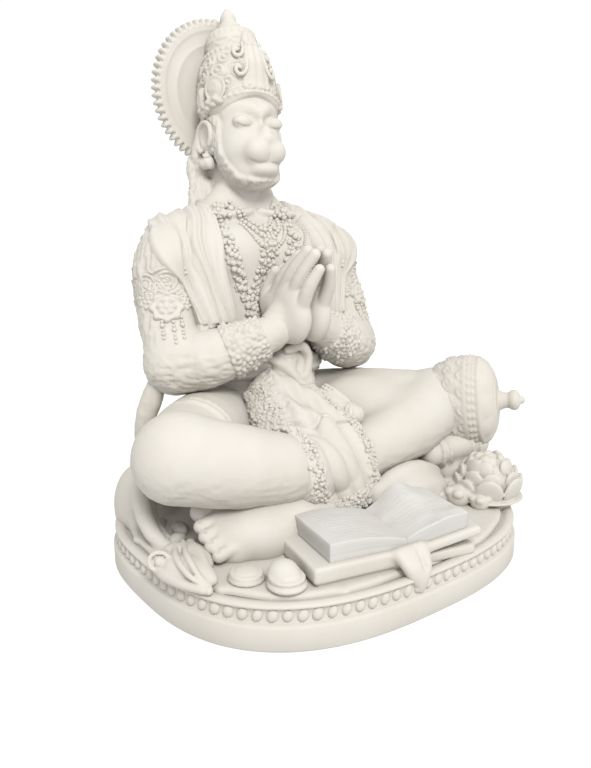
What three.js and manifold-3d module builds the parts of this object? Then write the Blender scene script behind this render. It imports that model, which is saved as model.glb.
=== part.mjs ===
// A seated Hanuman with joined hands, cast in one piece with its beaded plinth, mace, book and offerings.
// Millimetres, +Z up. The figure faces -Y, its own left is +X, and the origin is the middle of the underside.
import * as THREE from 'three';
import { mergeVertices } from 'three/addons/utils/BufferGeometryUtils.js';
import Module from 'manifold-3d';

const wasm = await Module();
wasm.setup();

// Driving dimensions
const plinthWidth = 138;
const plinthDepth = 119;
const plinthSquareness = 2.7;
const footBandHeight = 8.2;
const beadBandHeight = 4.4;
const beadBandInset = 1.6;
const plinthSides = 36;
const beadsPerSide = 2;
const beadRadius = 2.3;
const beadSink = 0.8;
const beadProud = 1.5;
const rimHeight = 1;
const rimInset = 0.9;
const groundRise = 0.8;
const groundInset = 4;
const seatWidth = 122;
const seatDepth = 62;
const seatHeight = 9;
const seatBackGap = 4;
const figureHeight = 175.6;
const haloRadius = 26;
const haloThickness = 4.2;
const haloTeeth = 28;
const haloToothDepth = 1.5;
const haloRecess = 1;
const crownRadius = 14;
const crownLean = 13;
const crownLeaves = 7;
const armletStuds = 4;
const armletRelief = 0.14;
const braceletRelief = 0.2;
const maceRadius = 17;
const maceRibs = 8;
const maceFlatness = 0.72;
const bookLength = 28;
const bookTurn = 12;
const bookTilt = 9;
const pageWidth = 27.5;
const pageThickness = 4;
const standHeight = 5;
const standSpread = 10;
const smallPotRadius = 5.6;
const largePotRadius = 6.4;
const conchLength = 27;
const bowlRadius = 10.8;
const bowlHeight = 11;

// The pose is drawn at this height, from the ground that the figure sits on to the tip of the crown
const drawnHeight = 175.6;
const drawnGround = 14.4;

const groundTop = footBandHeight + beadBandHeight + rimHeight + groundRise;
const unit = figureHeight / drawnHeight;
const fig = (x, y, z) => new THREE.Vector3(x * unit, y * unit, groundTop + (z - drawnGround) * unit);
const spot = (across, along) => new THREE.Vector3(across * plinthWidth / 2, along * plinthDepth / 2, groundTop);
const radians = THREE.MathUtils.degToRad;
const up = new THREE.Vector3(0, 0, 1);

// A closed geometry becomes a solid once its shared vertices are merged and its slivers dropped
function solidOf(geometry) {
  const bare = geometry.clone();
  for (const name of Object.keys(bare.attributes)) {
    if (name !== 'position') bare.deleteAttribute(name);
  }
  const merged = mergeVertices(bare, 1e-4);
  const corners = [];
  const index = merged.index.array;
  for (let i = 0; i < index.length; i += 3) {
    const [a, b, c] = index.slice(i, i + 3);
    if (a !== b && b !== c && c !== a) corners.push(a, b, c);
  }
  const mesh = new wasm.Mesh({
    numProp: 3,
    vertProperties: new Float32Array(merged.attributes.position.array),
    triVerts: new Uint32Array(corners),
  });
  return new wasm.Manifold(mesh);
}

// A skin over rings of equal count, closed by a fan at each end, facing outwards
function loft(rings) {
  const count = rings[0].length;
  const points = [];
  const corners = [];
  for (const ring of rings) {
    for (const p of ring) points.push(p.x, p.y, p.z);
  }
  for (let r = 0; r + 1 < rings.length; r++) {
    for (let i = 0; i < count; i++) {
      const j = (i + 1) % count;
      const [a, b, c, d] = [r * count + i, r * count + j, (r + 1) * count + i, (r + 1) * count + j];
      corners.push(a, b, d, a, d, c);
    }
  }
  const last = (rings.length - 1) * count;
  for (const [start, ring, turn] of [[0, rings[0], 1], [last, rings[rings.length - 1], -1]]) {
    const middle = ring.reduce((sum, p) => sum.add(p), new THREE.Vector3()).divideScalar(count);
    const hub = points.length / 3;
    points.push(middle.x, middle.y, middle.z);
    for (let i = 0; i < count; i++) {
      const j = (i + 1) % count;
      if (turn > 0) corners.push(hub, start + j, start + i);
      else corners.push(hub, start + i, start + j);
    }
  }
  const geometry = new THREE.BufferGeometry();
  geometry.setAttribute('position', new THREE.Float32BufferAttribute(points, 3));
  geometry.setIndex(volumeOf(points, corners) < 0 ? corners.reverse() : corners);
  return geometry;
}

function volumeOf(points, corners) {
  const at = (i) => new THREE.Vector3(points[3 * i], points[3 * i + 1], points[3 * i + 2]);
  let volume = 0;
  for (let i = 0; i < corners.length; i += 3) {
    volume += at(corners[i]).dot(at(corners[i + 1]).cross(at(corners[i + 2]))) / 6;
  }
  return volume;
}

// A round limb through stations [point, radius, radius across, rib]; ends says how far each end is rounded
function limb(stations, sides = 8, steps = 4, ends = [1, 1]) {
  const path = new THREE.CatmullRomCurve3(stations.map(([point]) => point), false, 'centripetal');
  const radiusAt = (t, k) => {
    const place = t * (stations.length - 1);
    const i = Math.min(Math.floor(place), stations.length - 2);
    const read = (s) => stations[s][k] ?? (k === 3 ? 0 : stations[s][1]);
    return THREE.MathUtils.lerp(read(i), read(i + 1), place - i);
  };
  const rings = [];
  let side = null;
  const ringAt = (t, push, shrink) => {
    const middle = path.getPoint(t);
    const ahead = path.getTangent(t);
    side ??= new THREE.Vector3().crossVectors(Math.abs(ahead.z) > 0.9 ? new THREE.Vector3(1, 0, 0) : up, ahead);
    side = side.clone().addScaledVector(ahead, -side.dot(ahead)).normalize();
    const above = new THREE.Vector3().crossVectors(ahead, side);
    const [high, wide] = [radiusAt(t, 1) * shrink * unit, radiusAt(t, 2) * shrink * unit];
    const rib = radiusAt(t, 3);
    middle.addScaledVector(ahead, push * radiusAt(t, 1) * unit);
    rings.push(Array.from({ length: sides }, (_, i) => {
      const angle = 2 * Math.PI * (i + 0.5) / sides;
      const swell = i % 2 ? 1 : 1 - rib;
      const p = middle.clone().addScaledVector(side, wide * swell * Math.cos(angle));
      return p.addScaledVector(above, high * swell * Math.sin(angle));
    }));
  };
  if (ends[0]) ringAt(0, -0.75 * ends[0], 0.58);
  for (let i = 0; i <= steps; i++) ringAt(i / steps, 0, 1);
  if (ends[1]) ringAt(1, 0.75 * ends[1], 0.58);
  return loft(rings);
}

function blob(middle, radii, turns = [0, 0, 0], around = 8, down = 5) {
  const geometry = new THREE.SphereGeometry(1, around, down);
  geometry.rotateX(Math.PI / 2);
  geometry.scale(...radii.map((r) => r * unit));
  geometry.applyMatrix4(new THREE.Matrix4().makeRotationFromEuler(new THREE.Euler(...turns.map(radians), 'ZYX')));
  geometry.translate(middle.x, middle.y, middle.z);
  return geometry;
}

function pebble(middle, radius, squash = 1) {
  const geometry = new THREE.OctahedronGeometry(radius, 0);
  geometry.scale(1, 1, squash);
  geometry.translate(middle.x, middle.y, middle.z);
  return geometry;
}

// A turned shape around +Z, from a profile of [radius, height] that starts and ends on the axis
function turned(profile, sides) {
  const geometry = new THREE.LatheGeometry(profile.map(([r, h]) => new THREE.Vector2(r, h)), sides);
  geometry.rotateX(Math.PI / 2);
  return geometry;
}

// A cloth band: stations [middle, half width, out x, out y, out z], with folds along it and scalloped edges
function cloth(stations, folds, depth, thickness, steps, scallop = 0) {
  const path = new THREE.CatmullRomCurve3(stations.map(([point]) => point), false, 'centripetal');
  const rings = [];
  for (let s = 0; s <= steps; s++) {
    const t = s / steps;
    const place = t * (stations.length - 1);
    const i = Math.min(Math.floor(place), stations.length - 2);
    const read = (k) => THREE.MathUtils.lerp(stations[i][k], stations[i + 1][k], place - i);
    const ahead = path.getTangent(t);
    const out = new THREE.Vector3(read(2), read(3), read(4));
    out.addScaledVector(ahead, -out.dot(ahead)).normalize();
    const across = new THREE.Vector3().crossVectors(ahead, out);
    const middle = path.getPoint(t);
    const half = read(1) * unit;
    const swell = s % 2 ? scallop : 0;
    const put = (u, w) => middle.clone().addScaledVector(across, u * (half + swell * unit)).addScaledVector(out, w * unit);
    const ring = [];
    for (let f = 0; f <= 2 * folds; f++) {
      const edge = f === 0 || f === 2 * folds;
      ring.push(put(f / folds - 1, edge ? swell * 0.7 : thickness + (f % 2 ? depth + swell * 0.5 : 0)));
    }
    ring.push(put(0.8, -2.5 * thickness), put(-0.8, -2.5 * thickness));
    rings.push(ring);
  }
  return loft(rings);
}

// A string of beads through its points
function strand(points, size, count) {
  const path = new THREE.CatmullRomCurve3(points, false, 'centripetal');
  return path.getSpacedPoints(count - 1).map((p) => pebble(p, size * unit));
}

const mirrored = (geometry) => {
  const copy = geometry.clone();
  copy.scale(-1, 1, 1);
  const index = copy.index ? Array.from(copy.index.array) : [...copy.attributes.position.array.keys()].slice(0, copy.attributes.position.count);
  copy.setIndex(index.reverse());
  return copy;
};
const both = (geometry) => [geometry, mirrored(geometry)];

// The plinth: a rounded oblong with a plain foot band, a row of beads, a rim and the ground
function outlinePoint(angle, inset, squareness = plinthSquareness, width = plinthWidth, depth = plinthDepth) {
  const [c, s] = [Math.cos(angle), Math.sin(angle)];
  const power = 2 / squareness;
  const x = (width / 2 - inset) * Math.sign(c) * Math.abs(c) ** power;
  const y = (depth / 2 - inset) * Math.sign(s) * Math.abs(s) ** power;
  return new THREE.Vector3(x, y, 0);
}

function outlineRing(inset, height, count, ...shape) {
  const fine = Array.from({ length: 240 }, (_, i) => outlinePoint(2 * Math.PI * i / 240, inset, ...shape).setZ(height));
  return new THREE.CatmullRomCurve3(fine, true).getSpacedPoints(count).slice(0, count);
}

function plinth() {
  const bandBottom = footBandHeight;
  const bandTop = bandBottom + beadBandHeight;
  const rimTop = bandTop + rimHeight;
  const levels = [
    [0, 0],
    [0, bandBottom],
    [beadBandInset, bandBottom],
    [beadBandInset, bandTop],
    [rimInset, bandTop],
    [rimInset, rimTop],
    [groundInset, groundTop],
  ];
  return loft(levels.map(([inset, height]) => outlineRing(inset, height, plinthSides)));
}

function plinthBeads() {
  const corners = outlineRing(beadBandInset, footBandHeight + beadBandHeight / 2, plinthSides);
  return corners.flatMap((corner, i) => {
    const next = corners[(i + 1) % plinthSides];
    const out = new THREE.Vector3().subVectors(next, corner).cross(up).normalize();
    return Array.from({ length: beadsPerSide }, (_, k) => {
      const base = corner.clone().lerp(next, (k + 0.5) / beadsPerSide).addScaledVector(out, -beadSink);
      return stud(base, out, beadRadius, beadBandHeight / 2 - 0.1, beadSink + beadProud);
    });
  });
}

// A four-sided stud on a wall: its square foot is sunk in, its point stands out
function stud(base, out, halfWidth, halfHeight, length) {
  const geometry = new THREE.ConeGeometry(1, 1, 4, 1).rotateY(Math.PI / 4).translate(0, 0.5, 0);
  const across = new THREE.Vector3().crossVectors(out, up);
  const frame = new THREE.Matrix4().makeBasis(
    across.multiplyScalar(halfWidth * Math.SQRT2),
    out.clone().multiplyScalar(length),
    up.clone().multiplyScalar(halfHeight * Math.SQRT2),
  );
  return geometry.applyMatrix4(frame.setPosition(base));
}

// The seat: a low rounded mound that carries the figure
function seat() {
  const levels = [[0, -0.1], [0.6, 0.4], [4, 0.85], [12, 1]];
  const rings = levels.map(([inset, share]) => outlineRing(inset, groundTop + share * seatHeight, 18, 2.6, seatWidth, seatDepth));
  const middle = plinthDepth / 2 - seatBackGap - seatDepth / 2;
  return loft(rings.map((ring) => ring.map((p) => p.add(new THREE.Vector3(0, middle, 0)))));
}

// Legs: the right shin crosses in front of the left one
function legs() {
  const thigh = limb([[fig(-14, 38, 38), 18], [fig(-36, 18, 42), 16], [fig(-57, -2, 44.5), 12.5]], 8, 2, [0, 0]);
  const frontShin = limb([
    [fig(-56.4, -3, 44.5), 14],
    [fig(-38, -10, 40), 13],
    [fig(-14, -12, 34), 10.5],
    [fig(14, -8, 26), 7.5],
    [fig(32, -3, 20), 5.5],
  ], 9, 5, [1, 0]);
  const backShin = limb([
    [fig(56, -3, 44.5), 13.5],
    [fig(38, -8, 38), 12],
    [fig(14, -8, 30), 10],
    [fig(-10, -10, 24), 8],
    [fig(-26, -10, 19), 6],
  ], 8, 4, [1, 0]);
  const lap = blob(fig(0, 12, 25), [42, 24, 12], [0, 0, 0], 8, 3);
  return [...both(thigh), frontShin, backShin, lap];
}

// A bare foot seen from its instep, with five toes; heading turns it about the vertical
function foot(ankle, heading, side) {
  const turn = new THREE.Matrix4().makeRotationZ(radians(heading));
  const place = (x, y, z) => {
    return new THREE.Vector3(x, y * side, z).multiplyScalar(unit).applyMatrix4(turn).add(ankle);
  };
  const parts = [limb([[place(-6, 0, -1), 6, 7.5], [place(8, 1, -1.5), 5.5, 10], [place(21, 1, -2.6), 3.6, 13]], 7, 2, [0, 0.5])];
  const toes = [[11, 3.6, 28], [5, 2.8, 28.5], [-0.4, 2.6, 27.6], [-5.6, 2.5, 26], [-10.6, 2.4, 24]];
  for (const [across, radius, reach] of toes) {
    parts.push(limb([[place(15, across, -2.6), radius * 1.1], [place(reach, across * 1.1, -3.4), radius * 0.8]], 4, 1, [0, 0]));
  }
  return parts;
}

// Torso and neck, from hips to chin
function torso() {
  const levels = [
    [26, 31, 20, 38],
    [44, 28, 19, 39],
    [58, 23, 17.5, 38],
    [72, 22, 16.5, 39],
    [88, 25.5, 16, 42],
    [100, 29.5, 16.5, 44],
    [111, 30, 15, 45],
    [116, 24, 12, 46],
    [120, 15, 10, 47],
    [132, 9, 9, 47],
  ];
  const rings = levels.map(([z, halfWidth, halfDepth, y]) => Array.from({ length: 12 }, (_, i) => {
    const angle = 2 * Math.PI * (i + 0.5) / 12;
    const power = 0.85;
    const c = Math.sign(Math.cos(angle)) * Math.abs(Math.cos(angle)) ** power;
    const s = Math.sign(Math.sin(angle)) * Math.abs(Math.sin(angle)) ** power;
    return fig(halfWidth * c, y + halfDepth * s, z);
  }));
  return loft(rings);
}

// Arms with a studded armlet above each elbow and a broad bracelet of flowers at each wrist
function arms() {
  const upper = limb([
    [fig(-31, 44, 106), 11.6],
    [fig(-36, 41, 97.5), 10.8],
    [fig(-37.8, 39, 92), 9.8],
    [fig(-38, 38.2, 90.5), 11.8, 11.8, armletRelief],
    [fig(-38.6, 36.6, 87), 11.8, 11.8, armletRelief],
    [fig(-38.8, 35.8, 85.5), 9.6],
    [fig(-39.5, 29, 69), 9.8],
  ], 2 * armletStuds, 6, [1, 0]);
  const fore = limb([
    [fig(-39.5, 29, 69), 10.2],
    [fig(-31, 22, 69.5), 9.8],
    [fig(-23.6, 18, 71.6), 8],
    [fig(-21.4, 16.9, 72.4), 10.4, 10.4, braceletRelief],
    [fig(-15, 13.9, 75), 9.2, 9.2, braceletRelief],
    [fig(-13, 13, 75.8), 6.8],
    [fig(-8, 11.5, 77.5), 6.4],
  ], 2 * armletStuds, 6, [1, 0]);
  const flower = pebble(fig(-45, 29.5, 86.5), 5 * unit);
  return [upper, fore, flower].flatMap(both);
}

// Joined hands, a little apart along their outer edges
function hands() {
  // Each station: height, reach from the middle plane, front edge, back edge, depth of the grooves
  const stations = [
    [74.5, 8.8, 5, 19, 0],
    [85.5, 9, 0, 20.5, 0.4],
    [96.5, 6.6, -3.4, 17, 1.3],
    [105.5, 3.8, -2.6, 12.5, 1.2],
  ];
  const fingers = 4;
  const rings = stations.map(([z, thick, front, back, ripple], s) => {
    const ring = [];
    for (let i = 0; i <= 2 * fingers; i++) {
      const t = i / (2 * fingers);
      const round = Math.sin(Math.PI * (0.14 + 0.72 * t));
      const tip = s === stations.length - 1 ? 3.2 * Math.sin(Math.PI * (0.15 + 0.7 * t)) : 0;
      ring.push(fig(-(thick * round + (i % 2 ? ripple : -ripple)), front + (back - front) * t, z + tip));
    }
    ring.push(fig(-0.1, back - 1, z), fig(-0.1, front + 1, z));
    return ring;
  });
  const parts = both(loft(rings));
  parts.push(...both(limb([[fig(-5.5, 19, 82), 3.2], [fig(-3.6, 22, 96), 2.2]], 5, 1, [0, 1])));
  return parts;
}

// The stole lies over both shoulders and hangs to the forearms in front and to the waist behind
function stole() {
  const band = cloth([
    [fig(-19.5, 22.5, 73), 9.5, 0, -1, 0],
    [fig(-21, 26, 87), 10, -0.1, -1, 0.1],
    [fig(-23, 28.5, 100), 11, -0.2, -1, 0.3],
    [fig(-24, 34, 111.5), 12, -0.3, -0.7, 0.8],
    [fig(-24, 45, 117), 12.5, -0.3, 0, 1],
    [fig(-22, 54, 111), 12, -0.1, 0.8, 0.7],
    [fig(-19, 57.5, 98), 11, 0, 1, 0],
    [fig(-17, 54.5, 78), 10, 0, 1, -0.1],
  ], 2, 1.4, 1.6, 7);
  return both(band);
}

// Necklaces, the long flower garland and the sacred thread
function garlands() {
  const long = [fig(-11, 40, 120), fig(-12, 32, 113), fig(-9.5, 27, 101), fig(-5, 24.5, 90)];
  const parts = strand(long, 3.4, 5).flatMap(both);
  for (const [x, z, size] of [[-4, 112, 2.8], [4, 112, 2.8], [0, 104, 3.8], [0, 96, 4.4], [0, 86, 5]]) {
    parts.push(pebble(fig(x, 27.5 - (103 - z) * 0.16, z), size * unit));
  }
  return parts;
}

// Head: a smooth mask with closed eyes, a rounded muzzle, a fringe of beard and locks behind the ears
function head() {
  // Each level: height, half width, front of the face, back of the head
  const levels = [
    [127, 6, 33.5, 46], [130, 8, 31.6, 50], [132.6, 9.2, 31.4, 53], [135.4, 10, 31, 56], [138, 10.8, 31, 58],
    [140.6, 11.3, 31.4, 59], [143, 11.6, 31.8, 60], [146, 12, 32.6, 60], [149, 12.4, 33.2, 60], [152, 12.6, 33, 60],
    [158, 12.4, 35, 60],
  ];
  // Each swelling: across, height, reach, spread across, spread in height
  const swellings = [
    [0, 143, 3.6, 2.4, 3], [0, 147.5, 1.8, 1.8, 4], [-3.8, 138, 5, 3.2, 3.4], [3.8, 138, 5, 3.2, 3.4],
    [0, 131, 1.6, 4, 2], [-5.4, 149, -1.6, 3, 1.8], [5.4, 149, -1.6, 3, 1.8], [-5, 152, 1.2, 4, 1.4], [5, 152, 1.2, 4, 1.4],
  ];
  const bearings = [0, 15, 29, 45, 66, 95, 135, 180, -135, -95, -66, -45, -29, -15].map(radians);
  const middleY = 44;
  const rings = levels.map(([z, halfWidth, front, back]) => bearings.map((bearing) => {
    const x = halfWidth * Math.sin(bearing);
    const ahead = Math.cos(bearing);
    let y = middleY - ahead * (ahead > 0 ? middleY - front : back - middleY);
    if (ahead > 0) {
      for (const [across, height, reach, wide, tall] of swellings) {
        y -= reach * Math.exp(-(((x - across) / wide) ** 2) - ((z - height) / tall) ** 2);
      }
    }
    return fig(x, y, z);
  }));
  const parts = [loft(rings)];
  parts.push(...both(blob(fig(-5.2, 34, 148.8), [3.2, 1.8, 1.3], [0, 0, 14], 5, 3)));
  const fringe = [fig(-12.6, 43, 142), fig(-11.4, 38, 133.5), fig(-7, 34, 128), fig(0, 32, 126)];
  const path = new THREE.CatmullRomCurve3(fringe);
  const tufts = path.getSpacedPoints(4).map((p, i) => [p, i % 2 ? 3.3 : 2.4]);
  parts.push(...both(limb(tufts, 4, 4, [0, 0])));
  parts.push(...both(blob(fig(-13.6, 46, 144.5), [2.2, 3.6, 6], [12, 0, 0], 6, 3)));
  const lock = [[fig(-12.4, 51, 150), 4], [fig(-13.4, 53, 138), 4.4], [fig(-14, 52, 128), 3.4], [fig(-15, 49, 117), 3.4]];
  parts.push(...both(limb(lock, 4, 3, [0, 0])));
  parts.push(limb([[fig(0, 52, 146), 12, 7], [fig(0, 53.5, 130), 13, 6], [fig(0, 57, 110), 9, 2]], 6, 2, [0, 0.6]));
  return parts;
}

// The crown leans back with the head: a wide tier, a drum, a small plate and a bud
function crown() {
  const tilt = radians(crownLean);
  const lean = new THREE.Matrix4().makeRotationX(-tilt);
  const base = fig(0, 46, 153);
  const wide = crownRadius * unit;
  const rise = (figureHeight + groundTop - base.z) / Math.cos(tilt);
  const place = (geometry) => geometry.applyMatrix4(lean).translate(base.x, base.y, base.z);
  // Each level: radius, height, relief of the beads or leaves round it
  const levels = [
    [0.96, -0.05, 0], [1.03, 0.02, 0.07], [0.92, 0.1, 0], [0.98, 0.26, 0.09], [0.84, 0.42, 0.12],
    [0.54, 0.45, 0], [0.5, 0.61, 0], [0.6, 0.66, 0.06], [0.38, 0.74, 0], [0.16, 0.79, 0], [0.23, 0.88, 0], [0.02, 1, 0],
  ];
  const sides = 2 * crownLeaves;
  const parts = [place(loft(levels.map(([round, height, relief]) => Array.from({ length: sides }, (_, i) => {
    const angle = 2 * Math.PI * i / sides - Math.PI / 2;
    const reach = round * wide * (i % 2 ? 1 - relief : 1);
    return new THREE.Vector3(reach * Math.cos(angle), reach * Math.sin(angle), height * rise);
  }))))];
  const around = (angle, radius, height) => {
    const a = radians(angle);
    return new THREE.Vector3(Math.sin(a) * radius * wide, -Math.cos(a) * radius * wide, height * rise);
  };
  for (const side of [-1, 1]) parts.push(place(pebble(around(side * 70, 0.84, 0.27), 5.4 * unit)));
  parts.push(place(limb([[around(0, 0.84, 0.12), 4], [around(0, 0.66, 0.5), 2]], 4, 1, [0, 1])));
  parts.push(...both(pebble(fig(-13.2, 48, 151.5), 4 * unit)));
  return parts;
}

// The halo: a notched disc behind the head with a raised rim, a ring and a recessed middle
function halo() {
  const outline = new THREE.Shape();
  for (let i = 0; i < haloTeeth * 2; i++) {
    const angle = Math.PI * i / haloTeeth;
    const reach = haloRadius - (i % 2 ? haloToothDepth : 0);
    outline[i ? 'lineTo' : 'moveTo'](reach * Math.cos(angle), reach * Math.sin(angle));
  }
  const disc = new THREE.ExtrudeGeometry(outline, { depth: haloThickness, bevelEnabled: false });
  const middle = fig(-3, 57, 161);
  const stand = (geometry) => geometry.rotateX(Math.PI / 2).translate(middle.x, middle.y + haloThickness, middle.z);
  const face = (radius, depth) => {
    const floor = haloThickness - depth;
    return stand(turned([[0, floor], [radius, floor], [radius + 0.4, haloThickness + 1], [0, haloThickness + 1]], 18));
  };
  return { disc: stand(disc), cuts: [face(haloRadius * 0.84, haloRecess), face(haloRadius * 0.66, haloRecess * 1.8)] };
}

// The belly scarf with its knot, and the sash that falls over the crossed shins
function scarf() {
  const belt = [[fig(-22, 30, 60), 5.5], [fig(0, 17, 64), 5], [fig(22, 30, 60), 5.5]];
  const parts = [
    limb(belt, 5, 4, [0, 0]),
    blob(fig(-1.5, 14.5, 62), [6.5, 5.5, 7.4], [0, 20, 0], 6, 4),
    blob(fig(-6, 11.5, 54), [4.8, 4.2, 6.5], [0, -35, 0], 5, 3),
    blob(fig(3.5, 11.5, 54.5), [4.2, 4.2, 6], [0, 30, 0], 5, 3),
  ];
  parts.push(cloth([
    [fig(-8, 18, 60), 9, -0.1, -0.6, 0.8],
    [fig(-6.5, 5, 55), 13, 0, -0.5, 0.8],
    [fig(-4, -7, 47), 15, 0, -0.8, 0.6],
    [fig(-2, -18, 36), 15, 0, -1, 0.3],
    [fig(-1.5, -22, 22), 13, 0, -1, 0.2],
  ], 3, 1.8, 2.4, 7, 1.6));
  parts.push(limb([[fig(9, 4, 53), 2.4], [fig(11, -3, 50), 3.4]], 5, 1, [0, 1]));
  return parts;
}

// The mace rests beside the left knee on a beaded roll, its shaft running back along the thigh
function mace() {
  const heading = new THREE.Vector3(0.52, -0.84, 0.12).normalize();
  const outward = new THREE.Vector3(0.84, 0.53, 0).normalize();
  const frame = new THREE.Matrix4().makeBasis(outward, new THREE.Vector3().crossVectors(heading, outward), heading);
  const middle = fig(62, -11.5, 44.5);
  const place = (geometry) => geometry.applyMatrix4(frame).translate(middle.x, middle.y, middle.z);
  const sides = maceRibs * 2;
  const shape = [[-0.9, 0.5, 0], [-0.35, 0.98, 1], [0.25, 0.98, 1], [0.6, 0.78, 0], [0.84, 0.54, 1.6]];
  const rings = shape.map(([along, round, rib]) => Array.from({ length: sides }, (_, i) => {
    const angle = 2 * Math.PI * (i + 0.5) / sides;
    const reach = maceRadius * round * (i % 2 ? 1 : 1 - 0.07 * rib);
    return new THREE.Vector3(maceFlatness * reach * Math.cos(angle), reach * Math.sin(angle), along * maceRadius);
  }));
  const parts = [place(loft(rings))];
  const knob = [[0, 0.7], [0.2, 0.78], [0.16, 1], [0.25, 1.12], [0.18, 1.32], [0, 1.38]];
  parts.push(place(turned(knob.map(([r, h]) => [r * maceRadius, h * maceRadius]), 7)));
  parts.push(limb([[fig(58, 0, 40), 4.5], [fig(42, 42, 26), 4.2]], 6, 1, [0, 1]));
  parts.push(limb([[fig(46, -13, 27), 6], [fig(57, -17, 28.5), 7], [fig(67, -20, 29), 6.4]], 6, 2, [0, 1]));
  parts.push(blob(fig(58, -9, 22), [11, 15, 11], [0, 0, -20], 7, 3));
  return parts;
}

// The tail comes round from behind on the right and curls up behind the elbow
function tail() {
  return limb([
    [fig(-14, 51, 27), 4.6],
    [fig(-32, 48.5, 29), 4.2],
    [fig(-45, 41, 36), 3.8],
    [fig(-48, 35, 48), 3.4],
    [fig(-46.5, 33, 57), 3.4],
  ], 5, 5, [0, 1]);
}

// The open book on its folding stand, turned to face the figure
function book() {
  const parts = [];
  const gutter = spot(-0.075, -0.68).setZ(groundTop + standHeight);
  const turn = new THREE.Matrix4().makeRotationZ(radians(-bookTurn));
  const place = (geometry) => geometry.applyMatrix4(turn).translate(gutter.x, gutter.y, gutter.z);
  const rise = Math.tan(radians(bookTilt));
  for (const side of [-1, 1]) {
    const half = new THREE.Shape();
    half.moveTo(-side * 0.6, -1.2);
    half.lineTo(-side * 0.6, pageThickness * 0.4);
    half.quadraticCurveTo(side * pageWidth * 0.25, pageThickness * 1.5, side * pageWidth, pageThickness * 0.8 + rise * pageWidth);
    half.lineTo(side * pageWidth, rise * pageWidth - 0.8);
    const block = new THREE.ExtrudeGeometry(half, { depth: bookLength, bevelEnabled: false, curveSegments: 3 });
    parts.push(place(block.rotateX(Math.PI / 2).translate(0, bookLength / 2, 0)));
    const leg = new THREE.BoxGeometry(pageWidth * 0.86, bookLength * 0.9, 2);
    leg.translate(side * pageWidth * 0.4, 0, 0).rotateY(radians(side * standSpread));
    parts.push(place(leg));
  }
  const keel = new THREE.BoxGeometry(6, bookLength * 0.84, standHeight + 3);
  parts.push(place(keel.translate(0, 0, -standHeight / 2 + 0.5)));
  const nose = new THREE.ConeGeometry(6.4, standHeight + 9, 4, 1);
  nose.rotateX(-Math.PI / 2).scale(1, 0.5, 1);
  parts.push(place(nose.translate(0, -bookLength * 0.57, -standHeight * 0.5)));
  return parts;
}

// Offerings: two lidded pots, a conch, a bowl of fruit and loose petals
function pot(middle, radius, height) {
  const shape = [[0, -0.3], [0.86, -0.3], [1, 0.35], [0.8, 0.7], [0.88, 0.82], [0, 1.1]];
  return turned(shape.map(([r, h]) => [r * radius, h * height]), 9).translate(middle.x, middle.y, middle.z);
}

function conch() {
  const middle = spot(-0.91, -0.33);
  const shape = [[-0.5, 0.05], [-0.3, 0.2], [-0.02, 0.3], [0.26, 0.26], [0.42, 0.12], [0.5, 0.04]];
  const rings = shape.map(([along, round], k) => Array.from({ length: 8 }, (_, i) => {
    const angle = 2 * Math.PI * i / 8;
    const reach = round * (1 + (i + k) % 2 * 0.14) * conchLength;
    return new THREE.Vector3(reach * Math.cos(angle) * 0.75, along * conchLength, reach * Math.sin(angle) * 0.62);
  }));
  const body = loft(rings).rotateZ(radians(12)).translate(middle.x + 2, middle.y, middle.z + conchLength * 0.14);
  const lip = limb([
    [new THREE.Vector3(middle.x - 1, middle.y + 9, middle.z + 0.4), 2],
    [new THREE.Vector3(middle.x - 3.4, middle.y + 2, middle.z + 0.4), 2.4],
    [new THREE.Vector3(middle.x - 1, middle.y - 7, middle.z + 0.4), 1.8],
  ], 4, 2, [0, 0]);
  return [body, lip];
}

function bowl() {
  const middle = spot(0.79, -0.56);
  const shape = [[0, -0.1], [0.62, -0.1], [0.98, 0.66], [0, 1]];
  const parts = [turned(shape.map(([r, h]) => [r * bowlRadius, h * bowlHeight]), 12).translate(middle.x, middle.y, middle.z)];
  const ring = (count, radius, height, size) => {
    for (let i = 0; i < count; i++) {
      const angle = 2 * Math.PI * (i + radius) / count;
      const at = new THREE.Vector3(Math.cos(angle) * radius, Math.sin(angle) * radius, 0).multiplyScalar(bowlRadius);
      parts.push(pebble(at.add(middle).setZ(middle.z + height * bowlHeight), size));
    }
  };
  ring(6, 0.8, 0.8, 4.8);
  ring(3, 0.36, 1.1, 4.8);
  return parts;
}

function petals() {
  const parts = [];
  for (const [across, along] of [[-0.84, 0.1], [-0.8, -0.02], [0.72, -0.2], [0.62, -0.3]]) {
    const at = spot(across, along);
    parts.push(pebble(new THREE.Vector3(at.x, at.y, at.z + 0.6), 3.6, 0.5));
  }
  return parts;
}

const ring = halo();
const castParts = [
  plinth(),
  ...plinthBeads(),
  seat(),
  ...legs(),
  ...foot(fig(-23, -12, 20), 165, -1),
  ...foot(fig(30, -3, 20), -4, 1),
  torso(),
  ...arms(),
  ...hands(),
  ...stole(),
  ...garlands(),
  ...head(),
  ...crown(),
  ...scarf(),
  ...mace(),
  tail(),
  ...book(),
  pot(spot(-0.65, -0.52), smallPotRadius, smallPotRadius * 0.9),
  pot(spot(-0.58, -0.72), largePotRadius, largePotRadius * 0.9),
  ...conch(),
  ...bowl(),
  ...petals(),
];

const haloSolid = ring.cuts.reduce((solid, cut) => solid.subtract(solidOf(cut)), solidOf(ring.disc));
const cast = castParts.map(solidOf).reduce((solid, part) => solid.add(part), haloSolid);

function geometryOf(solid) {
  const { numProp, vertProperties, triVerts } = solid.getMesh();
  const geometry = new THREE.BufferGeometry();
  geometry.setAttribute('position', new THREE.BufferAttribute(vertProperties, numProp));
  geometry.setIndex(new THREE.BufferAttribute(triVerts, 1));
  geometry.computeVertexNormals();
  return geometry;
}

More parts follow.
